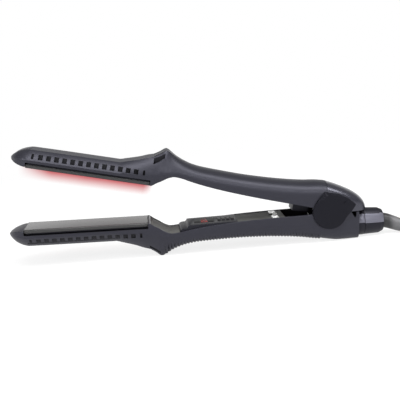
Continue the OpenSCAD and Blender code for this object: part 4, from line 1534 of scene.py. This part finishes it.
@dataclass
class LowerArm:
    """The arm that lies on the floor, with its controls, plate and ribbed grip."""

    arm: Arm = Arm.LOWER
    body: str = "lower_arm"
    pod_a: float = 76.0
    pod_b: float = 123.3
    step_s: float = 116.4
    face_z: float = 3.7
    face_rise: float = 1.1
    figures_s: float = 102.9
    figure_pitch: float = 4.2
    bar_fill: float = 0.82
    key_first: float = 3.4
    key_pitch: float = 3.6
    word_s: float = 44.6
    word_size: float = 7.4
    word_narrow: float = 0.84
    words: Tuple[Tuple[str, str, float], ...] = (
        ("switch_on_print", "ON", -8.8),
        ("switch_off_print", "OFF", 9.5),
    )

    def _shell(self) -> None:
        """Outer shell with its flat sole, hinge seat and grip groove."""
        ribs = Ribs(7.0, HUMP_S - 3)
        maker = ArmShell(
            self.arm,
            LOWER_TABLE,
            -25.0,
            swells=((139.3, 13.2, 2.0, 0.35),),
            ribs=ribs,
            shield_y=14.3,
            slot_deep=3.4,
        )
        piece = maker.skin("lower_housing")
        maker.shields(self.body)
        maker.seal(self.body)
        seat = hinge_rod(SEAT_R)
        groove = follow(LOWER_TABLE, 1, ribs.start, ribs.end, -1.3, 4, 7.5)
        notch = prism([(17.5, 0), (22.6, 0), (22.6, 5), (21.4, 6.4)], 40)
        carve(piece, placed(merged([seat, groove, notch]), self.arm))
        socket = placed(rod(10.7, (19.9, 0, 12.62), (34, 0, 12.62), 64), self.arm)
        floor = box((-FAR, -60, -20), (FAR, 60, 0))
        carve(piece, merged([socket, floor]))
        smooth(piece, 30.0)
        dress(piece, Finish.BODY, self.body, ["lower_shell"], Finish.INSIDE)

    def _bead(self) -> None:
        """Rounded bead and low sill across the arm at the plate's heel."""
        x, half, z = 1.35 - HEEL, 17.3, 1.35
        shape = rod(1.0, (x, -half, z), (x, half, z), 24)
        piece = to_object("heel_bead", placed(bevel_edges(shape, 0.5, 3), self.arm))
        smooth(piece)
        dress(piece, Finish.COLLAR, self.body)
        sill = bevel_edges(block(HEEL - 4.3, HEEL - 2.1, 15.2, 1.9, 3.6), 0.3)
        dress(to_object("heel_sill", placed(sill, self.arm)), Finish.COVER, self.body)

    def _controls(self) -> None:
        """Covers, pod, window, buttons and switch."""
        recast("lower_neck_cover", Finish.COVER, self.body, 0.35)
        recast("lower_rear_cover", Finish.COVER, self.body, 0.35)
        recast("control_bezel", Finish.TRIM, self.body, 0.6, segments=3)
        recast("display_window", Finish.GLASS, self.body, 0.15)
        for key in KEYS:
            recast(key + "_button", Finish.BUTTON, key + "_key", 0.3)
        recast("slide_switch", Finish.KNOB, "switch_knob", 0.2)

    def _panel(self, s: float) -> float:
        """Height of the pod's face at a distance from the pin."""
        return self.face_z + self.face_rise * (s - self.pod_a) / (self.step_s - self.pod_a)

    def _face(self, name: str, shape: bmesh.types.BMesh, finish: Finish, body: str) -> None:
        """Places a small mark that was made in the arm's frame."""
        piece = to_object(name, placed(shape, self.arm))
        smooth(piece)
        dress(piece, finish, body)

    def _marks(self) -> None:
        """Plain signs on the buttons: a ring and bar, three dots, minus and plus."""
        first = self.pod_a + self.key_first
        for i, key in enumerate(KEYS):
            s = first + self.key_pitch * i
            top = self._panel(s) - 0.8
            low, high = top - 0.06, top + 0.2
            parts = []
            if key == "power":
                ring = rod(0.8, (-s, 0, low), (-s, 0, high), 24)
                inner = rod(0.52, (-s, 0, low - 1), (-s, 0, high + 1), 24)
                mark = to_object("ring", ring)
                carve(mark, inner)
                shape = bmesh.new()
                shape.from_mesh(mark.data)
                bpy.data.objects.remove(mark)
                parts = [shape, box((-s - 1.0, -0.13, low), (-s - 0.2, 0.13, high))]
            if key == "mode":
                parts = [rod(0.26, (-s, y, low), (-s, y, high), 16) for y in (-1.1, 0.0, 1.1)]
            if key in ("minus", "plus"):
                parts = [box((-s - 0.14, -0.85, low), (-s + 0.14, 0.85, high))]
            if key == "plus":
                parts.append(box((-s - 0.85, -0.14, low - 0.01), (-s + 0.85, 0.14, high)))
            self._face(key + "_sign", merged(parts), Finish.MARK, key + "_key")

    def _words(self) -> None:
        """ON and OFF printed to both sides of the slide switch."""
        for name, word, y0 in self.words:
            curve = bpy.data.curves.new(name + "_curve", "FONT")
            curve.body = word
            curve.size = self.word_size
            curve.align_x = "CENTER"
            curve.align_y = "CENTER"
            curve.extrude = 0.09
            curve.offset = 0.16
            curve.resolution_u = 3
            carrier = bpy.data.objects.new(name + "_carrier", curve)
            flat = bpy.data.meshes.new_from_object(carrier)
            bpy.data.objects.remove(carrier)
            bpy.data.curves.remove(curve)
            shape = bmesh.new()
            shape.from_mesh(flat)
            bpy.data.meshes.remove(flat)
            for v in shape.verts:
                x, y = v.co.y - self.word_s, y0 - self.word_narrow * v.co.x
                z = LOWER_TABLE.at(-x, 2) + 0.24 + v.co.z
                v.co = Vector((x, y, z)) * MM
            bmesh.ops.remove_doubles(shape, verts=shape.verts, dist=0.001 * MM)
            bmesh.ops.recalc_face_normals(shape, faces=shape.faces)
            # The print's finish gives it a painted glow.
            self._face(name, shape, Finish.PRINT, self.body)

    def _digits(self) -> None:
        """Three lit figures behind the window, made of bars as on such a display."""
        lit = {"1": "bc", "8": "abcdefg", "0": "abcdef"}
        parts = []
        for n, figure in enumerate("180"):
            y0 = (1 - n) * self.figure_pitch
            for bar in lit[figure]:
                parts.append(self._bar(bar, y0))
        self._face("display_figures", merged(parts), Finish.DIGIT, self.body)

    def _bar(self, bar: str, y0: float) -> bmesh.types.BMesh:
        """One bar of a figure; the figures are read with the hinge to the right."""
        w, h, t = 1.3, 2.4, 0.24
        spots = {
            "a": (h, 0, t, w),
            "g": (0, 0, t, w),
            "d": (-h, 0, t, w),
            "b": (h / 2, w, h / 2, t),
            "c": (-h / 2, w, h / 2, t),
            "f": (h / 2, -w, h / 2, t),
            "e": (-h / 2, -w, h / 2, t),
        }
        ds, dy, ls, ly = spots[bar]
        s, y = self.figures_s + ds, y0 + dy
        top = self._panel(s)
        reach, side = ls * self.bar_fill, ly * self.bar_fill
        return box((-(s + reach), y - side, top - 0.05), (-(s - reach), y + side, top + 0.1))

    def _plate(self) -> None:
        """Heated plate with its tray, and what lies under it."""
        recast("lower_plate", Finish.PLATE, "lower_float", 0.25, angle=50)
        recast("lower_carrier", Finish.TRIM, "lower_float", 0.15)
        repaint("lower_heater", Finish.CERAMIC)
        repaint("lower_cushions", Finish.CUSHION)
        repaint("thermal_fuse", Finish.STEEL)
        repaint("heater_leads", Finish.LEAD)
        repaint("control_board", Finish.BOARD)
        repaint("switch_base", Finish.STEEL)

    def build(self) -> None:
        """Makes the whole lower arm."""
        self._shell()
        self._bead()
        recast("grip_strip", Finish.SOFT, self.body, 0.12, angle=20)
        self._controls()
        self._marks()
        self._words()
        self._digits()
        self._plate()
        recast("hinge_yoke", Finish.TRIM, self.body, 0.3, angle=50)
        recast("hinge_bushes", Finish.BRASS, self.body, 0.15, angle=50)


@dataclass
class UpperArm:
    """The arm that swings, with its hood over the hinge and the infrared strip."""

    arm: Arm = Arm.UPPER
    body: str = "upper_arm"
    glow_depth: float = 11.0
    glow_gap: float = 0.12
    crown: float = 0.75

    def _shell(self) -> None:
        """Outer shell of the arm."""
        swells = ((139.6, 12.4, 2.9, 1.5), (144.0, 7.4, 2.2, 1.0))
        maker = ArmShell(self.arm, UPPER_TABLE, 5.3, swells=swells, crown=self.crown)
        piece = maker.skin("upper_housing")
        maker.shields(self.body)
        maker.seal(self.body)
        carve(piece, placed(hinge_rod(SEAT_R), self.arm))
        smooth(piece, 30.0)
        dress(piece, Finish.BODY, self.body, ["upper_shell"], Finish.INSIDE)

    def _hood(self) -> None:
        """Hood behind the parting line, with the two round cheeks."""
        outer = Loft(HOOD_TABLE, flank_steps=6, crown=self.crown).build(-31, 5, 1.2)
        piece = to_object("rear_hood", placed(outer, self.arm))
        hollow = Loft(HOOD_TABLE, 2.2, 12, 0.1, 3, 8, crown=self.crown).build(-27, 7, 1.5)
        carve(piece, placed(hollow, self.arm))
        carve(piece, placed(hinge_rod(BORE_R), self.arm))
        under = box((-FAR, -60, -FAR), (FAR, 60, -0.7))
        closed = Matrix.Translation(PIN_AT) @ Matrix.Rotation(math.radians(TILT), 4, "Y")
        bmesh.ops.transform(under, matrix=closed, verts=under.verts)
        carve(piece, under)
        smooth(piece, 30.0)
        dress(piece, Finish.HOOD, self.body, ["upper_hood"], Finish.INSIDE)
        cheeks = merged(
            [rod(CHEEK_R, (0, side * 14.1, 0), (0, side * 17.0, 0), 96) for side in (-1, 1)]
        )
        cheek = to_object("hinge_cheeks", placed(bevel_edges(cheeks, 0.3, 2, 50), self.arm))
        smooth(cheek)
        dress(cheek, Finish.HOOD, self.body)

    def _covers(self) -> None:
        """Inner cover, guard, screws and side caps."""
        recast("upper_cover", Finish.COVER, self.body, 0.3, angle=40)
        recast("wire_guard", Finish.CAP, self.body, 0.5, segments=3)
        for side in ("near_cap", "far_cap"):
            recast(side, Finish.CAP, self.body, 0.25, angle=60)
        recast("case_screws", Finish.STEEL, self.body, 0.2, angle=50)
        recast("hinge_pin", Finish.STEEL, self.body, 0.3, angle=50)
        recast("torsion_spring", Finish.SPRING, self.body, 0.0)

    def _plate(self) -> None:
        """Heated plate with the infrared strip in its slot."""
        recast("upper_plate", Finish.PLATE, "upper_float", 0.25, angle=50)
        recast("upper_carrier", Finish.TRIM, "upper_float", 0.15)
        recast("led_lens", Finish.LENS, frame["nodes"]["led_lens"]["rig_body"], 0.2)
        repaint("upper_heater", Finish.CERAMIC)
        repaint("upper_cushions", Finish.CUSHION)
        repaint("upper_leads", Finish.LEAD)
        repaint("led_board", Finish.BOARD)

    def _painted_glow(self) -> None:
        """Painted red glow under the plate."""
        a, b = HEEL - 2.6, HEEL + PLATE_L + 5.5
        cross = [(-15.4, 0.0), (-14.2, 0.3), (-10.5, 0.68), (-4.0, 1.0)]
        cross += [(-y, v) for y, v in reversed(cross)]
        marks = [a + (b - a) * i / 44 for i in range(45)]
        rings = [[Vector((-s, y, -self.glow_gap - self.glow_depth * v)) * MM for y, v in cross] for s in marks]
        shape = through(rings, closed=True)
        fade = shape.loops.layers.uv.new("fade")
        for face in shape.faces:
            for corner in face.loops:
                s = -corner.vert.co.x / MM
                share = min((s - a) / 7.0, (b - s) / 26.0, 1.0)
                depth = (-corner.vert.co.z / MM - self.glow_gap) / self.glow_depth
                corner[fade].uv = (max(0.0, share), max(0.0, min(1.0, depth)))
        # Painted light: an emissive sheet in the gap under the plate paints the red glow.
        piece = to_object("plate_glow", placed(shape, self.arm))
        smooth(piece, 80.0)
        dress(piece, Finish.HAZE, "upper_float")
        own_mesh(piece)

    def build(self) -> None:
        """Makes the whole upper arm."""
        self._shell()
        self._hood()
        self._covers()
        self._plate()
        self._painted_glow()


@dataclass
class Swivel:
    """Rear swivel: a collar, a barrel in two halves, and the spindle inside."""

    radius: float = 11.6
    collar_l: float = 5.2
    barrel_l: float = 16.8
    axis_z: float = 12.62
    core: float = 8.02
    front: float = 25.5
    highlight_band_low: float = 0.4
    highlight_band_high: float = 7.4
    highlight_band_r: float = 9.6

    def _turned(
        self, name: str, outline: Sequence[Tuple[float, float]], turn: float, start: float = 0.0
    ) -> bpy.types.Object:
        """Spins an outline about the swivel's axis.

        Args:
            name: the object's name.
            outline: closed outline, as distance along the axis and radius.
            turn: degrees that it is turned through.
            start: degrees at which it starts, from straight up.

        Returns:
            The object, in the model's frame.
        """
        shape = bmesh.new()
        loop, edges = looped(shape, [(x * MM, 0, r * MM) for x, r in outline])
        whole = abs(turn - 360) < 1e-6
        if not whole:
            shape.faces.new(loop)
        bmesh.ops.rotate(shape, matrix=Matrix.Rotation(math.radians(start), 3, "X"), verts=shape.verts)
        bmesh.ops.spin(
            shape,
            geom=edges if whole else list(shape.faces) + edges,
            axis=(1, 0, 0),
            cent=(0, 0, 0),
            dvec=(0, 0, 0),
            angle=math.radians(turn),
            steps=96 if whole else 48,
            use_merge=whole,
            use_duplicate=False,
        )
        bmesh.ops.remove_doubles(shape, verts=shape.verts, dist=1e-7)
        bmesh.ops.recalc_face_normals(shape, faces=shape.faces)
        bmesh.ops.translate(shape, vec=(0, 0, self.axis_z * MM), verts=shape.verts)
        return to_object(name, placed(shape, Arm.LOWER))

    def _mark_highlight_band(self, piece: bpy.types.Object) -> None:
        """Marks the band of faces at both sides that gets the pale satin finish; the band lies where the
        highlight falls, so its paleness is partly a satin insert and partly painted highlight.
        """
        back = Arm.LOWER.matrix.inverted()
        for face in piece.data.polygons:
            spot = back @ face.center
            y, up = spot.y / MM, self.axis_z - spot.z / MM
            out = (back.to_3x3() @ face.normal).x
            level = self.highlight_band_low < up < self.highlight_band_high
            if level and math.hypot(y, up) > self.highlight_band_r and abs(out) < 0.5:
                face.material_index = 1

    def build(self) -> None:
        """Makes the swivel's pieces."""
        x0, r, c, e = self.front, self.radius, self.core, 0.35
        collar = self._turned(
            "swivel_ring",
            [
                (x0, c),
                (x0, r - e),
                (x0 + e * 0.3, r - e * 0.3),
                (x0 + e, r),
                (x0 + self.collar_l - e, r),
                (x0 + self.collar_l - e * 0.3, r - e * 0.3),
                (x0 + self.collar_l, r - e),
                (x0 + self.collar_l, c),
            ],
            360,
        )
        smooth(collar, 25)
        # The pale band at the sides is partly painted highlight.
        self._mark_highlight_band(collar)
        dress(collar, Finish.TRIM, "swivel", ["swivel_collar"], Finish.INSERT)
        x1 = x0 + self.collar_l + 0.1
        length = self.barrel_l
        outline = [
            (x1, c),
            (x1, r - 0.5),
            (x1 + 0.3, r - 0.2),
            (x1 + length - 3.9, r - 0.85),
            (x1 + length - 3.1, r - 1.15),
            (x1 + length - 0.3, 9.15),
            (x1 + length, 8.7),
            (x1 + length, 6.6),
            (x1 + length - 1, 6.6),
            (x1 + length - 1, c),
        ]
        halves = (("barrel_top", "swivel_top", 90.6), ("barrel_bottom", "swivel_bottom", -89.4))
        for name, node, start in halves:
            half = self._turned(name, outline, 178.8, start)
            smooth(half, 28)
            if node == "swivel_top":
                self._mark_highlight_band(half)
            dress(half, Finish.TRIM, "swivel", [node], Finish.INSERT)
        recast("swivel_socket", Finish.TRIM, "lower_arm", 0.3, angle=50)
        recast("swivel_spindle", Finish.TRIM, "swivel", 0.2, angle=50)


# --------------------------------------------------------------------------- studio


@dataclass
class Studio:
    """Pale floor, white surroundings, soft lamps and the camera."""

    eye: Point = (-0.15248, -0.68769, 0.17398)
    turn: Point = (79.084, 4.319, -3.882)
    lens: float = 75.978
    horizon: float = 0.17
    overhead: float = 0.44
    dimmed: float = 0.15
    ambient: float = 0.34
    near: float = 0.3
    away: float = 0.6
    lamps: Tuple[Tuple[str, Point, Point, Tuple[float, float], float], ...] = (
        ("key_softbox", (0.05, -0.36, 1.0), (-0.08, 0, 0.03), (1.5, 0.4), 13.2),
        ("side_softbox", (0.24, -0.78, 0.52), (-0.1, 0, 0.04), (0.25, 0.25), 1.9),
        ("end_softbox", (-0.85, -0.5, 0.5), (-0.25, 0, 0.04), (0.25, 0.25), 2.2),
    )

    def camera(self) -> None:
        """Places the camera."""
        data = bpy.data.cameras.new("camera")
        data.lens = self.lens
        data.sensor_width = 36.0
        data.clip_start = 0.01
        made = bpy.data.objects.new("camera", data)
        made.location = self.eye
        made.rotation_euler = Euler([math.radians(a) for a in self.turn], "XYZ")
        bpy.context.scene.collection.objects.link(made)
        bpy.context.scene.camera = made

    @staticmethod
    def _seen(tree: bpy.types.NodeTree, names: Sequence[str]) -> bpy.types.NodeSocket:
        """1 where a ray is of one of the named kinds."""
        path = tree.nodes.new("ShaderNodeLightPath")
        total = path.outputs[names[0]]
        for name in names[1:]:
            total = SHOP.maths(tree, "MAXIMUM", total, path.outputs[name])
        return total

    def _world(self) -> None:
        """Surroundings that are white to the eye and give a weaker, even light.

        In a reflection they are white low down and dim overhead, with a soft change between.
        """
        world = bpy.data.worlds.new("surroundings")
        world.use_nodes = True
        bpy.context.scene.world = world
        tree = world.node_tree
        background = tree.nodes["Background"]
        background.inputs["Color"].default_value = (1.0, 1.0, 1.0, 1.0)
        split = tree.nodes.new("ShaderNodeSeparateXYZ")
        tree.links.new(tree.nodes.new("ShaderNodeTexCoord").outputs["Generated"], split.inputs[0])
        ceiling = tree.nodes.new("ShaderNodeMapRange")
        ceiling.interpolation_type = "SMOOTHSTEP"
        ceiling.inputs["From Min"].default_value = self.horizon
        ceiling.inputs["From Max"].default_value = self.overhead
        ceiling.inputs["To Min"].default_value = 1.0
        ceiling.inputs["To Max"].default_value = self.dimmed
        tree.links.new(split.outputs["Z"], ceiling.inputs["Value"])
        mirrored = self._seen(tree, ["Is Glossy Ray", "Is Transmission Ray"])
        strength = SHOP.maths(tree, "MULTIPLY", mirrored, ceiling.outputs["Result"])
        strength = SHOP.maths(tree, "MAXIMUM", strength, self._seen(tree, ["Is Camera Ray"]))
        tree.links.new(SHOP.maths(tree, "MAXIMUM", strength, self.ambient), background.inputs["Strength"])

    def _floor(self) -> None:
        """Wide pale floor that keeps a faint shadow near the object and is white further out."""
        shape = bmesh.new()
        bmesh.ops.create_grid(shape, x_segments=1, y_segments=1, size=6.0)
        bmesh.ops.translate(shape, vec=(0, 0, -0.0002), verts=shape.verts)
        floor = to_object("studio_floor", shape)
        material = bpy.data.materials.new("pale_floor")
        material.use_nodes = True
        tree = material.node_tree
        tree.nodes.clear()
        out = tree.nodes.new("ShaderNodeOutputMaterial")
        plain = tree.nodes.new("ShaderNodeBsdfDiffuse")
        plain.inputs["Color"].default_value = (0.7, 0.7, 0.7, 1)
        dim = tree.nodes.new("ShaderNodeBsdfDiffuse")
        dim.inputs["Color"].default_value = (0.24, 0.24, 0.24, 1)
        lift = tree.nodes.new("ShaderNodeEmission")
        lift.inputs["Strength"].default_value = 0.82
        white = tree.nodes.new("ShaderNodeEmission")
        white.inputs["Strength"].default_value = 1.0
        near = tree.nodes.new("ShaderNodeAddShader")
        tree.links.new(dim.outputs[0], near.inputs[0])
        tree.links.new(lift.outputs[0], near.inputs[1])
        length = tree.nodes.new("ShaderNodeVectorMath")
        length.operation = "LENGTH"
        tree.links.new(tree.nodes.new("ShaderNodeTexCoord").outputs["Object"], length.inputs[0])
        away = tree.nodes.new("ShaderNodeMapRange")
        away.inputs["From Min"].default_value = self.near
        away.inputs["From Max"].default_value = self.away
        tree.links.new(length.outputs["Value"], away.inputs["Value"])
        both = tree.nodes.new("ShaderNodeMixShader")
        tree.links.new(away.outputs["Result"], both.inputs[0])
        tree.links.new(near.outputs[0], both.inputs[1])
        tree.links.new(white.outputs[0], both.inputs[2])
        mix = tree.nodes.new("ShaderNodeMixShader")
        watched = self._seen(tree, ["Is Camera Ray", "Is Glossy Ray", "Is Transmission Ray"])
        tree.links.new(watched, mix.inputs[0])
        tree.links.new(plain.outputs[0], mix.inputs[1])
        tree.links.new(both.outputs[0], mix.inputs[2])
        tree.links.new(mix.outputs[0], out.inputs["Surface"])
        floor.data.materials.append(material)

    @staticmethod
    def _lamp(name: str, place: Point, aim: Point, size: Tuple[float, float], power: float) -> None:
        """A rectangular soft lamp.

        Args:
            name: its name.
            place: where it stands, in metres.
            aim: the point that it faces.
            size: its two sides.
            power: in watts.
        """
        data = bpy.data.lights.new(name, "AREA")
        data.shape = "RECTANGLE"
        data.size, data.size_y = size
        data.energy = power
        made = bpy.data.objects.new(name, data)
        made.location = place
        made.rotation_euler = (Vector(aim) - Vector(place)).to_track_quat("-Z", "Y").to_euler()
        bpy.context.scene.collection.objects.link(made)

    def build(self) -> None:
        """Sets up everything round the object but the camera."""
        self._world()
        self._floor()
        for lamp in self.lamps:
            self._lamp(*lamp)
        bpy.context.scene.view_settings.view_transform = "Standard"


def main() -> None:
    """Builds the cord, the arms, the swivel and the studio, in that order."""
    logging.basicConfig(level=logging.INFO, format="%(message)s")
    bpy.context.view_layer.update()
    studio = Studio()
    studio.camera()
    for part in (CordSet(), LowerArm(), UpperArm(), Swivel()):
        part.build()
        LOG.info("%s done", type(part).__name__)
    studio.build()
    bpy.context.view_layer.update()


if __name__ == "__main__":
    main()
